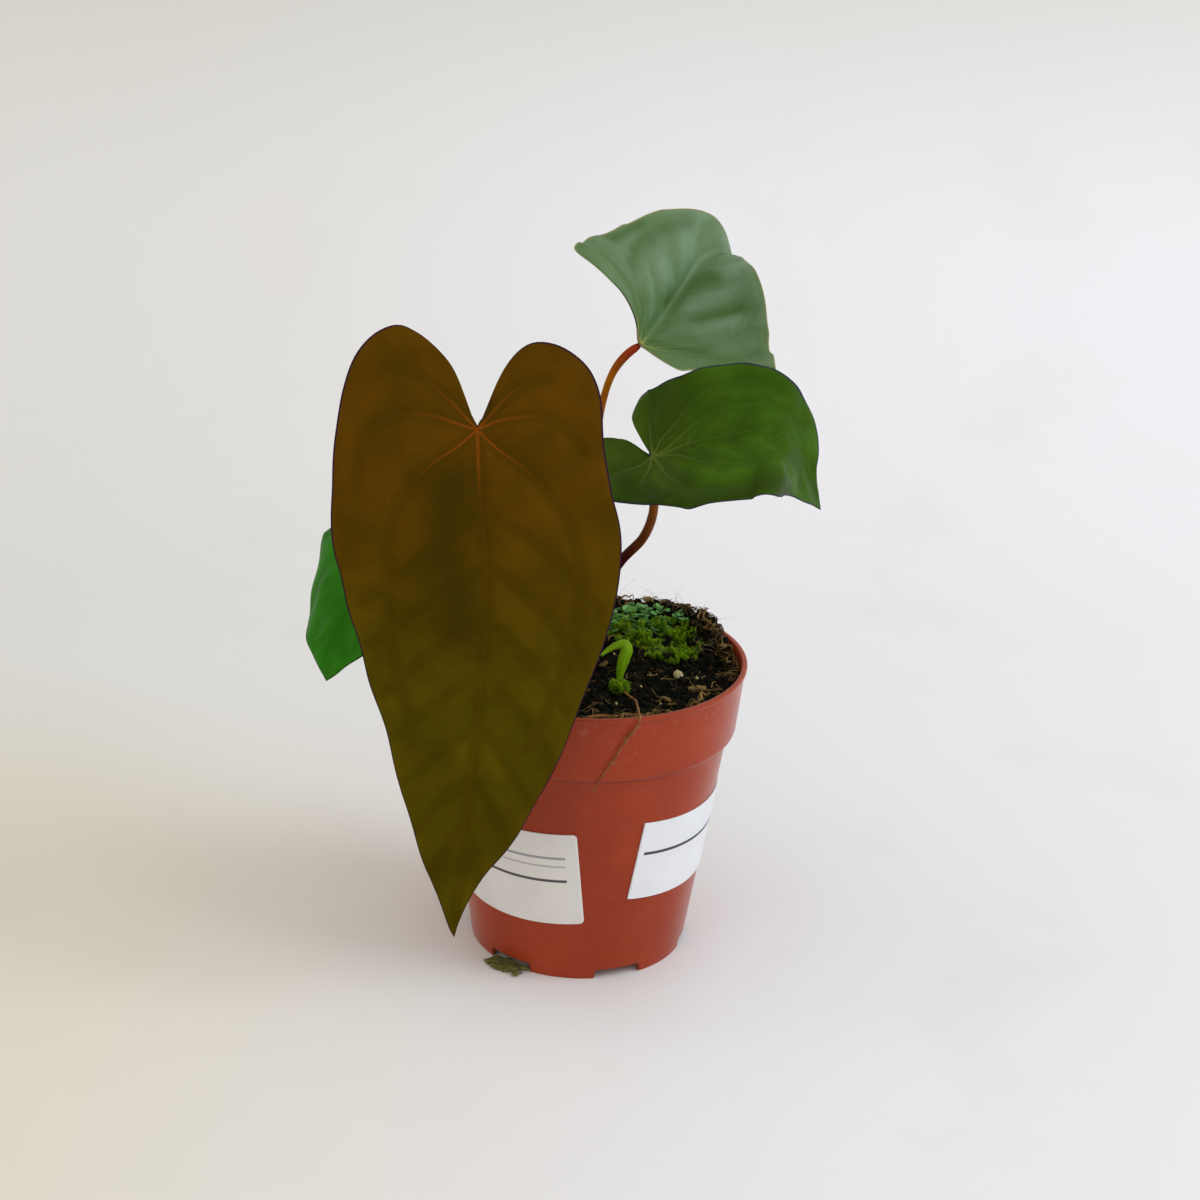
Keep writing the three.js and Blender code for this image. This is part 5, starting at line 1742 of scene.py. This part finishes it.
@dataclass
class PeatBed:
    """The soil with its crumbs, bark, white grains and fibres."""

    seed: int = 20
    rings: int = 125
    spokes: int = 360

    def build(self) -> list[bpy.types.Object]:
        """Makes the soil and what lies loose on it."""
        return [self.bed(), self.crumbs(), self.chips(), self.grains(), self.fibres()]

    def rough_height(self, x: Array, y: Array) -> Array:
        """The soil's level with its lumps: clouds of noise, the coarse one without its sign so that lumps
        stand apart, and less of both at the pot's wall.

        Args:
            x: Places across.
            y: Places to the back.

        Returns:
            Heights in millimetres.
        """
        place = np.stack([x, y, np.zeros_like(x)], -1)
        lumps = 2.4 * np.abs(cloud(place / 6.5, 3, 7)) + 1.1 * cloud(place / 2.4, 3, 9) - 0.5
        inward = smooth(0, 3, SOIL_RADIUS - np.hypot(x, y))
        return soil_height(x, y) + lumps * (0.35 + 0.65 * inward) - 0.4

    def bed(self) -> bpy.types.Object:
        """Makes the soil's top and a skirt down inside the pot.

        Returns:
            The soil.
        """
        radius = SOIL_RADIUS * np.linspace(0, 1, self.rings + 1)[1:] ** 0.8
        turn = np.linspace(0, 2 * np.pi, self.spokes, endpoint=False)
        x, y = radius[:, None] * np.cos(turn), radius[:, None] * np.sin(turn)
        z = self.rough_height(x, y)
        skirt_radius, skirt_height = np.array([55.1, 52.3, 40.3, 17.9]), np.array([91.2, 89.6, 7.1, 5.7])
        skirt_x, skirt_y = skirt_radius[:, None] * np.cos(turn), skirt_radius[:, None] * np.sin(turn)
        deep = np.stack(np.broadcast_arrays(skirt_x, skirt_y, skirt_height[:, None]), -1)
        points = np.concatenate([np.stack([x, y, z], -1), deep])
        rows = len(points)
        place = points / 3
        dry = np.clip(0.35 + 0.9 * cloud(place / 3, 3, 15), 0, 1)
        middle = np.array([[0, 0, float(self.rough_height(np.zeros(1), np.zeros(1))[0])], [0, 0, 1.7]])
        fans = end_fans(rows, self.spokes, rows * self.spokes)[:, [0, 2, 1]]
        shape = Shape()
        quads = grid_quads(rows, self.spokes, round_columns=True)[:, ::-1]
        shape.add(np.vstack([points.reshape(-1, 3), middle]), quads, fans, dry=np.append(dry.ravel(),
                                                                                         [0.3, 0.3]))
        return finished(shape.make("peat_bed"), Peat(), "soil", "soil")

    def scatter(self, random: np.random.Generator, count: int, low: float = 0.0, high: float = 55.5) -> Array:
        """Random places on the soil, evenly over its area, outside the crown.

        Args:
            random: The source of random numbers.
            count: How many places.
            low: Least distance from the pot's axis.
            high: Greatest distance from it.

        Returns:
            Places in millimetres.
        """
        radius = np.sqrt(random.uniform(low ** 2, high ** 2, count * 2))
        turn = random.uniform(0, 2 * np.pi, count * 2)
        x, y = radius * np.cos(turn), radius * np.sin(turn)
        clear = np.hypot(x - CROWN_XY[0], y - CROWN_XY[1]) > CROWN_RADIUS + 1
        x, y = x[clear][:count], y[clear][:count]
        return np.column_stack([x, y, self.rough_height(x, y)])

    def crumbs(self) -> bpy.types.Object:
        """Loose crumbs: small balls with their points pushed in and out by noise, larger ones rarer.

        Returns:
            The crumbs.
        """
        random = np.random.default_rng(self.seed)
        points, faces = ball(1)
        count = 3000
        places = self.scatter(random, count)
        back = smooth(15, 45, places[:, 0] * 0.7 + places[:, 1] * 0.7)
        size = (0.4 + 1.0 * random.random(len(places)) ** 3) * (1 + 0.6 * back)
        bumpy = dented(points, len(places), 0.28, random, 1.5)
        stretch = size[:, None] * random.uniform(0.6, 1.3, (len(places), 3))
        turns = random_turns(random, len(places)) * stretch[:, None, :]
        places[:, 2] += 0.25 * size
        shape = Shape()
        add_copies(shape, bumpy, faces, turns, places, dry=random.random(len(places)) ** 2)
        crumb = Peat("peat_crumb", linear(27, 23, 14), linear(96, 70, 36))
        return finished(shape.make("peat_crumbs"), crumb, "soil")

    def chips(self) -> bpy.types.Object:
        """Bark chips: flattened bumpy balls, stretched along one direction, lying on the soil.

        Returns:
            The chips.
        """
        random = np.random.default_rng(self.seed + 1)
        points, faces = ball(2)
        known = [[23, 50, 0], [29, 49, 0], [37, 46, 0], [14, 47, 0], [51, 18, 0]]
        places = np.vstack([self.scatter(random, 46), known])
        count = len(places)
        size = 0.8 + 1.3 * random.random(count) ** 2
        size[-5:] = (2.6, 1.6, 1.5, 1.8, 1.6)
        places[:, 2] = self.rough_height(places[:, 0], places[:, 1]) + 0.3 + 0.2 * size
        angle, lean = random.uniform(0, 2 * np.pi, count), random.normal(0, 0.35, count)
        turns = turned(angle, lean, "X") * (size[:, None] * CHIP_SHAPE)[:, None, :]
        blocky = np.sign(points) * np.abs(points) ** 0.6
        bumpy = dented(blocky, count, 0.13, random, 1.6)
        shape = Shape()
        own = np.append(random.random(count - 5) ** 0.5, [0.0, 0.6, 0.9, 0.5, 0.4])
        add_copies(shape, bumpy, faces, turns, places, own=own)
        return finished(shape.make("bark_chips", creases=True),
                        Fibre("bark", linear(178, 150, 92), linear(64, 32, 14), 0.8), "root")

    def grains(self) -> bpy.types.Object:
        """White grains: rough balls half sunk in the soil.

        Returns:
            The grains.
        """
        random = np.random.default_rng(self.seed + 2)
        points, faces = ball(2)
        known = [[34, -7, 0], [47, -7, 0], [41, -9, 0], [20, -19, 0]]
        places = np.vstack([known, self.scatter(random, 12)])
        count = len(places)
        size = np.concatenate([[1.7, 1.3, 0.9, 0.7], random.uniform(0.3, 0.7, count - 4)])
        places[:, 2] = self.rough_height(places[:, 0], places[:, 1]) + 0.45 * size
        bumpy = dented(points, count, 0.12, random)
        stretch = size[:, None] * random.uniform(0.75, 1.15, (count, 3))
        shape = Shape()
        add_copies(shape, bumpy, faces, random_turns(random, count) * stretch[:, None, :], places,
                   own=random.random(count))
        return finished(shape.make("white_grains"),
                        Fibre("white_grain", linear(232, 222, 180), linear(206, 186, 130), 0.8), "label")

    def fibres(self) -> bpy.types.Object:
        """Fibres and rootlets lying on the soil: each path starts at a random place and turns by a
        smooth random angle as it goes, a little above the soil.

        Returns:
            The fibres.
        """
        random = np.random.default_rng(self.seed + 3)
        count, steps = 260, 9
        start = self.scatter(random, count, 8, 54)
        heading = random.uniform(0, 2 * np.pi, count)[:, None]
        heading = heading + np.cumsum(random.normal(0, 0.35, (count, steps)), 1)
        stride = (0.5 + 1.3 * random.random(count) ** 2)[:, None]
        x = start[:, :1] + np.cumsum(stride * np.cos(heading), 1)
        y = start[:, 1:2] + np.cumsum(stride * np.sin(heading), 1)
        out = np.maximum(1, np.hypot(x, y) / 56.6)
        x, y = x / out, y / out
        above = 0.9 * np.abs(np.cumsum(random.normal(0, 0.25, (count, steps)), 1))
        z = self.rough_height(x, y) + 0.35 + above
        radius = (0.08 + 0.3 * random.random(count) ** 3)[:, None] * np.linspace(1, 0.4, steps)
        shape = Shape()
        add_tubes(shape, np.stack([x, y, z], -1), radius, sides=5, own=random.random(count)[:, None] ** 0.6)
        return finished(shape.make("soil_fibres"), Fibre("rootlet", linear(190, 160, 92), linear(66, 42, 18)),
                        "root")


@dataclass
class RimRoots:
    """Roots along the rim, the loose one that crosses it, and fine hairs that stand up at the back."""

    seed: int = 61

    def build(self) -> list[bpy.types.Object]:
        """Makes the roots."""
        return [self.tangle(), self.over_rim(), self.hairs()]

    def tangle(self) -> bpy.types.Object:
        """The tangle at the right and back right: each root winds round the pot's axis at a radius and
        a height that waver by slow sines, close above the soil and the rim.

        Returns:
            The tangle.
        """
        random = np.random.default_rng(self.seed)
        steps = 22
        groups = ((0.0, 7.0, 17, 55.0, 0.22), (24.0, 9.0, 15, 54.0, 0.25), (45.0, 16.0, 16, 53.5, 0.25),
                  (-72.0, 14.0, 16, 54.5, 0.4), (-38.0, 12.0, 13, 53.0, 0.25), (75.0, 14.0, 9, 53.0, 0.25))
        middle = np.radians(np.concatenate([random.normal(at, spread, n) for at, spread, n, _, _ in groups]))
        base = np.concatenate([random.normal(reach, 1.6, n) for _, _, n, reach, _ in groups]).clip(40, 56.2)
        length = np.concatenate([random.uniform(0.08, far, n) for _, _, n, _, far in groups])
        count = len(middle)
        share = np.linspace(-0.5, 0.5, steps)[None]
        turn = middle[:, None] + (length * random.choice([-1, 1], count))[:, None] * share

        def wander(low: float, high: float) -> Array:
            """Slow sines along each root, with random heights, lengths and starts."""
            spans = ((low, high), (4, 15), (0, 6.3))
            rise, pace, start = (random.uniform(a, b, (count, 1)) for a, b in spans)
            return rise * np.sin(share * pace + start)

        reach = np.minimum(base[:, None] + wander(0.5, 4.0), 57.0)
        x, y = reach * np.cos(turn), reach * np.sin(turn)
        z = soil_height(x, y) + 0.6 + np.abs(wander(0.2, 1.8)) + random.uniform(0, 1.0, (count, 1))
        radius = (0.1 + 0.42 * random.random(count) ** 3)[:, None] * (1.15 - np.abs(share) * 1.3)
        shape = Shape()
        add_tubes(shape, np.stack([x, y, z], -1), radius, sides=6,
                  own=random.random(count)[:, None] ** 0.6)
        bark = Fibre("root_bark", linear(170, 136, 80), linear(46, 30, 14))
        return finished(shape.make("root_tangle"), bark, "root", "rim_roots")

    def over_rim(self) -> bpy.types.Object:
        """The loose root down the collar, with knots and short scraps on it, and a stouter root that
        lies on the soil along the rim.

        Returns:
            The root.
        """
        random = np.random.default_rng(self.seed + 1)
        route = np.array([
            (13.8, -26.6, 112.6), (16.2, -32.6, 113.2), (17.8, -38.1, 114.5), (18.8, -48.9, 116),
            (19.3, -55, 116.5),
            (19.6, -57.3, 116.3), (19.4, -58.2, 115), (18.5, -57.5, 112.4), (15.6, -57.7, 108.6),
            (12, -57.9, 101.8),
            (8.3, -57.8, 95.1), (5.6, -57.6, 90), (4, -57.3, 85.8)], float)
        path = evenly(soft_curve(route), 90)
        share = np.linspace(0, 1, 90)
        knots = noise(np.column_stack([share * 34, share * 0, share * 0]), 8)
        radius = (0.42 - 0.22 * share) * (1 + 0.45 * np.maximum(0, knots))
        shape = Shape()
        add_tubes(shape, path[None], radius[None], sides=9, own=(0.2 + 0.4 * share)[None])
        at = random.choice(np.arange(30, 80), 26)
        side = np.cumsum(random.normal(0, 0.5, (26, 7, 3)), 1) * [0.8, 0.05, 0.8]
        way = path[at][:, None] + side + [0, -0.35, 0]
        add_tubes(shape, way, 0.09, sides=4, own=0.1)
        lying = np.array([(0, -50.5), (5, -49.4), (10, -49.6), (14.5, -48.6), (19, -49.4)], float)
        lying = np.column_stack([lying, soil_height(*lying.T) + [0.6, 1.0, 0.9, 1.3, 1.6]])
        add_tubes(shape, evenly(soft_curve(lying), 40)[None], 0.75, sides=9, own=0.5)
        bark = Fibre("loose_root_bark", linear(186, 136, 84), linear(116, 74, 42))
        return finished(shape.make("loose_root"), bark, "root", "root_over_rim")

    def hairs(self) -> bpy.types.Object:
        """Fine hairs that rise at the back right and along the rim: each leaves the soil, leans and
        curls, with its lean growing as the square of the share of its length.

        Returns:
            The hairs.
        """
        random = np.random.default_rng(self.seed + 2)
        count, steps = 110, 12
        turn = np.radians(random.uniform(15, 105, count))
        reach = random.uniform(50, 57, count)
        x, y = reach * np.cos(turn), reach * np.sin(turn)
        share = np.linspace(0, 1, steps)[None]
        length = (2 + 7 * random.random(count) ** 3)[:, None]
        lean = random.normal(0, 0.7, (count, 2, 1))
        path = np.stack([x[:, None] + lean[:, 0] * length * share ** 2,
                         y[:, None] + lean[:, 1] * length * share ** 2,
                         soil_height(x, y)[:, None] + length * share * (1 - 0.25 * share)], -1)
        path += 0.25 * np.cumsum(random.normal(0, 0.25, path.shape), 1)
        shape = Shape()
        add_tubes(shape, path, 0.07 * np.linspace(1, 0.4, steps), sides=4, own=0.2)
        bark = Fibre("hair_root", linear(190, 176, 150), linear(120, 100, 74))
        return finished(shape.make("fine_hairs"), bark, "root")


@dataclass
class Moss:
    """A patch of moss: a cushion under many small upright stems, each set round with pointed leaves."""

    name: str
    nodes: tuple
    centre: tuple
    half: tuple
    turn: float
    height: float
    stems: int
    leaf: float
    seed: int
    tone: tuple = linear(66, 122, 6)
    other: tuple = linear(168, 208, 28)
    patchy: float = 0.0

    def ground(self, share: Array, angle: Array) -> Array:
        """Places on the patch's ellipse, with a waved edge, at the soil's level.

        Args:
            share: Share of the distance to the edge.
            angle: Directions from the centre.

        Returns:
            Places in millimetres.
        """
        edge = 1 + 0.12 * np.sin(3 * angle + 1) + 0.07 * np.sin(7 * angle)
        u, v = self.half[0] * share * edge * np.cos(angle), self.half[1] * share * edge * np.sin(angle)
        turn = math.radians(self.turn)
        x = self.centre[0] + u * math.cos(turn) - v * math.sin(turn)
        y = self.centre[1] + u * math.sin(turn) + v * math.cos(turn)
        return np.stack([x, y, soil_height(x, y)], -1)

    def build(self) -> bpy.types.Object:
        """Makes the patch. The cushion is a low dome with noise on it. A stem's leaf is a folded blade,
        two triangles on each side of its keel and two above, which leans out from the stem and is
        turned on from the last leaf by one step of a spiral.

        Returns:
            The patch.
        """
        random = np.random.default_rng(self.seed)
        share = np.linspace(0, 1, 14)[:, None]
        angle = np.linspace(0, 2 * np.pi, 56, endpoint=False)[None]
        spot = self.ground(*np.broadcast_arrays(share, angle))
        bumps = 0.4 * cloud(spot / 2.2, 2, self.seed) * (1 - share ** 4)
        dome = self.height * 0.5 * (1 - share ** 2.5) + bumps
        spot = spot + np.stack([np.zeros_like(dome), np.zeros_like(dome), dome], -1)
        shape = Shape()
        shape.add(spot, grid_quads(14, 56, round_columns=True)[:, ::-1], own=np.full(14 * 56, -0.75))
        radius = np.sqrt(random.random(self.stems)) * 1.06
        around = random.uniform(0, 2 * np.pi, self.stems)
        base = self.ground(radius, around)
        base[:, 2] += self.height * 0.6 * np.maximum(0, 1 - radius ** 2.5)
        grown = cloud(base * [1, 1, 0] / 2.8, 2, self.seed) > self.patchy - 1
        base, around = base[grown], around[grown]
        stems = len(base)
        tall = (0.7 + 0.9 * random.random(stems)) * self.leaf * 1.6
        each = 11
        order = np.arange(each)
        turn = around[:, None] + order[None] * SPIRAL_STEP
        rise = tall[:, None] * (0.15 + 0.85 * order / each)
        lean = np.radians(70 - 45 * order / each)[None]
        way = [np.cos(turn) * np.sin(lean), np.sin(turn) * np.sin(lean), np.cos(lean) * np.ones_like(turn)]
        way = np.stack(way, -1)
        across = np.stack([-np.sin(turn), np.cos(turn), np.zeros_like(turn)], -1)
        up = np.cross(way, across)
        size = self.leaf * random.uniform(0.7, 1.2, (stems, each))[..., None]
        foot = base[:, None] + np.stack([np.zeros_like(rise), np.zeros_like(rise), rise], -1)
        tip = foot + way * size
        mid = foot + way * size * 0.45
        side = across * size * 0.24
        keel = mid - up * size * 0.1
        points = np.stack([foot, mid + side, tip, mid - side, keel], -2).reshape(-1, 3)
        faces = np.array([(0, 1, 4), (1, 2, 4), (2, 3, 4), (3, 0, 4), (0, 3, 2), (0, 2, 1)])
        offset = (np.arange(stems * each) * 5)[:, None, None]
        own = 1.3 * random.random(stems)[:, None] ** 1.5 + 0.5 * order / each - 0.35
        shape.add(points, None, faces[None] + offset, own=np.repeat(np.clip(own, -0.4, 1), 5, axis=1))
        green = Tissue(self.name + "_green", self.tone, self.other, 0.55)
        return finished(shape.make(self.name), green, "moss", *self.nodes)


@dataclass
class Liverwort:
    """A patch of liverwort: overlapping flat lobes with waved, slightly raised edges."""

    centre: tuple = (19.0, 32.0)
    half: tuple = (16.0, 10.5)
    turn: float = -12.0
    height: float = 2.2
    lobes: int = 108
    seed: int = 33

    def build(self) -> bpy.types.Object:
        """Makes the patch. A lobe is a disc, notched at its tip by 1 - 0.3 e^(-(a / 0.3)^2) and
        dished by the square of the distance from its middle, closed by a lower face.

        Returns:
            The patch.
        """
        random = np.random.default_rng(self.seed)
        bed = Moss("bed", (), self.centre, self.half, self.turn, self.height, stems=0, leaf=1, seed=1)
        share = np.sqrt((np.arange(self.lobes) + 0.5) / self.lobes)
        angle = np.arange(self.lobes) * SPIRAL_STEP + random.normal(0, 0.2, self.lobes)
        foot = bed.ground(share * 1.02, angle)
        foot[:, 2] += self.height * (1 - share ** 2) + random.uniform(0.3, 1.7, self.lobes)
        rings, around = 5, 24
        r = np.linspace(0, 1, rings + 1)[1:, None]
        a = np.linspace(-np.pi, np.pi, around, endpoint=False)[None]
        edge = (1 - 0.3 * np.exp(-(a / 0.3) ** 2)) * (0.72 + 0.28 * np.cos(a)) * (1 + 0.07 * np.cos(9 * a))
        x, y = r * edge * np.cos(a) + 0.3, r * edge * np.sin(a) * 0.8
        z = 0.28 * r ** 2 - 0.1 + 0.07 * r ** 3 * np.sin(5 * a)
        top = np.vstack([[[0.3, 0, -0.1]], np.stack([x, y, z + 0 * a], -1).reshape(-1, 3)])
        low = top - [0, 0, 0.09]
        k = np.arange(around)
        fan = np.stack([np.zeros(around, int), 1 + k, 1 + (k + 1) % around], -1)
        quads = grid_quads(rings, around, round_columns=True)[:, ::-1] + 1
        split = np.vstack([quads[:, [0, 1, 2]], quads[:, [0, 2, 3]]])
        last = 1 + (rings - 1) * around
        p, q = last + k, last + (k + 1) % around
        under = len(top)
        rim = np.vstack([np.stack([p, p + under, q + under], -1), np.stack([p, q + under, q], -1)])
        faces = np.vstack([fan, split, fan[:, ::-1] + under, split[:, ::-1] + under, rim])
        size = random.uniform(1.5, 3.1, self.lobes)
        spin, lean = random.uniform(0, 2 * np.pi, self.lobes), random.normal(-0.25, 0.3, self.lobes)
        turns = turned(spin, lean, "Y") * size[:, None, None]
        shape = Shape()
        add_copies(shape, np.vstack([top, low]), faces, turns, foot, own=random.random(self.lobes))
        skin = Tissue("liverwort_green", linear(66, 126, 44), linear(132, 184, 112), 0.45, 1400.0, 0.0003)
        return finished(shape.make("liverwort_lobes"), skin, "liverwort", "liverwort")


def foot_moss() -> bpy.types.Object:
    """Moss and scraps that grow out of a notch under the pot: a low mat of crumbs with moss stems.

    Returns:
        The piece.
    """
    random = np.random.default_rng(77)
    points, faces = ball(2)
    notch, count, stems = math.radians(POT.notch_azimuth - 60), 90, 420
    turn = notch + random.normal(0, 0.085, count).clip(-0.17, 0.17)
    reach = random.uniform(40.5, 47.2, count)
    size = random.uniform(0.5, 1.5, count)
    places = np.column_stack([reach * np.sin(turn), -reach * np.cos(turn), 0.15 + size * 0.62])
    bumpy = dented(points, count, 0.16, random, 1.6)
    stretch = size[:, None, None] * np.diag([1.2, 1.0, 0.55])
    shape = Shape()
    add_copies(shape, bumpy, faces, stretch, places, own=random.random(count) * 0.5)
    turn = notch + random.normal(0, 0.08, stems).clip(-0.16, 0.16)
    reach = random.uniform(41.5, 47.4, stems)
    foot = np.column_stack([reach * np.sin(turn), -reach * np.cos(turn), random.uniform(0.4, 1.6, stems)])
    way = unit(random.normal(size=(stems, 3)) * [1, 1, 0.4] + [0, -0.3, 0.7])
    share = np.linspace(0, 1, 4)[None, :, None]
    paths = foot[:, None] + way[:, None] * share * random.uniform(0.6, 1.5, (stems, 1, 1))
    add_tubes(shape, paths, 0.14 * np.array([1, 0.9, 0.6, 0.1]), sides=4,
              own=0.4 + 0.6 * random.random(stems)[:, None])
    skin = Tissue("foot_moss_green", linear(92, 84, 44), linear(134, 136, 78), 0.8)
    return finished(shape.make("foot_growth"), skin, "moss", "foot_moss")


# Camera, light and ground

@dataclass(frozen=True)
class Studio:
    """The camera at the photographed angle, a plain pale ground and soft light. The camera's place is in
    millimetres, and the window's and what it faces are in metres."""

    pitch: float = 21.585
    roll: float = 2.4366
    camera_place: tuple = (3.557, -867.09, 480.8)
    lens: float = 50.0
    sensor: float = 24.0
    room: float = 0.87
    room_colour: tuple = (1.0, 0.97, 0.94, 1.0)
    window: float = 15.0
    window_colour: tuple = (0.82, 0.92, 1.0)
    window_place: tuple = (1.65, -0.3, 1.35)
    window_aim: tuple = (0, 0, 0.14)

    def camera(self) -> None:
        """Sets the camera: it looks to the back and down by the pitch, and rolls about its view."""
        pitch, roll = math.radians(self.pitch), math.radians(self.roll)
        ahead = Vector((0, math.cos(pitch), -math.sin(pitch)))
        up = Vector((0, math.sin(pitch), math.cos(pitch)))
        right = Vector((1, 0, 0))
        right_rolled = math.cos(roll) * right + math.sin(roll) * up
        up_rolled = -math.sin(roll) * right + math.cos(roll) * up
        data = bpy.data.cameras.new("camera")
        data.lens, data.sensor_width, data.sensor_height = self.lens, self.sensor, self.sensor
        data.clip_start, data.clip_end = 0.05, 30
        thing = bpy.data.objects.new("camera", data)
        place = Matrix.Translation(Vector(self.camera_place) * MM)
        thing.matrix_world = place @ Matrix((right_rolled, up_rolled, -ahead)).transposed().to_4x4()
        bpy.context.scene.collection.objects.link(thing)
        bpy.context.scene.camera = thing

    def ground(self) -> None:
        """Lays the ground: a flat sheet that sweeps up at the back in a quarter circle."""
        radius, back, front, half, top = 420.0, 330.0, -1800.0, 2600.0, 2400.0
        bend = np.linspace(0, np.pi / 2, 32)
        y = np.concatenate([[front], back + radius * np.sin(bend), [back + radius]])
        z = np.concatenate([[0], radius * (1 - np.cos(bend)), [top]])
        points = np.stack(np.broadcast_arrays(np.array([-half, half])[None], y[:, None], z[:, None]), -1)
        shape = Shape()
        shape.add(points, grid_quads(len(y), 2))
        thing = shape.make("ground")
        thing.data.materials.append(StudioPaper().material())

    def light(self) -> None:
        """Sets the light: a bright warm room all round, and a soft cooler window at the right."""
        world = bpy.data.worlds.new("studio")
        world.use_nodes = True
        background = world.node_tree.nodes["Background"]
        background.inputs["Color"].default_value = self.room_colour
        background.inputs["Strength"].default_value = self.room
        bpy.context.scene.world = world
        data = bpy.data.lights.new("window", "AREA")
        data.shape, data.size, data.energy, data.color = "SQUARE", 1.0, self.window, self.window_colour
        thing = bpy.data.objects.new("window", data)
        thing.location = self.window_place
        thing.rotation_euler = (Vector(self.window_aim) - thing.location).to_track_quat("-Z", "Y").to_euler()
        bpy.context.scene.collection.objects.link(thing)
        bpy.context.scene.view_settings.view_transform = "Standard"


def main() -> None:
    """Builds the classes in order."""
    logging.basicConfig(level=logging.INFO, format="%(name)s: %(message)s")
    studio = Studio()
    studio.camera()
    studio.ground()
    studio.light()
    NurseryPot().build()
    PeatBed().build()
    RimRoots().build()
    Crown().build()
    blades = leaves()
    for blade in blades:
        blade.build()
    for stalk in stalks(blades):
        stalk.build()
    Shoot().build()
    Liverwort().build()
    Moss("moss_patch", ("moss_cushion",), centre=(31.0, 15.5), half=(12.0, 7.5), turn=8.0, height=1.5,
         stems=900, leaf=1.0, seed=41, patchy=1.04).build()
    Moss("moss_among_lobes", (), centre=(21.0, 26.0), half=(16.5, 9.0), turn=-12.0, height=4.4, stems=1100,
         leaf=1.05, seed=43, patchy=0.98).build()
    Moss("moss_tuft", ("moss_clump",), centre=(11.9, -24.2), half=(3.5, 3.1), turn=0.0, height=2.8, stems=120,
         leaf=1.2, seed=42).build()
    foot_moss()


if __name__ == "__main__":
    main()
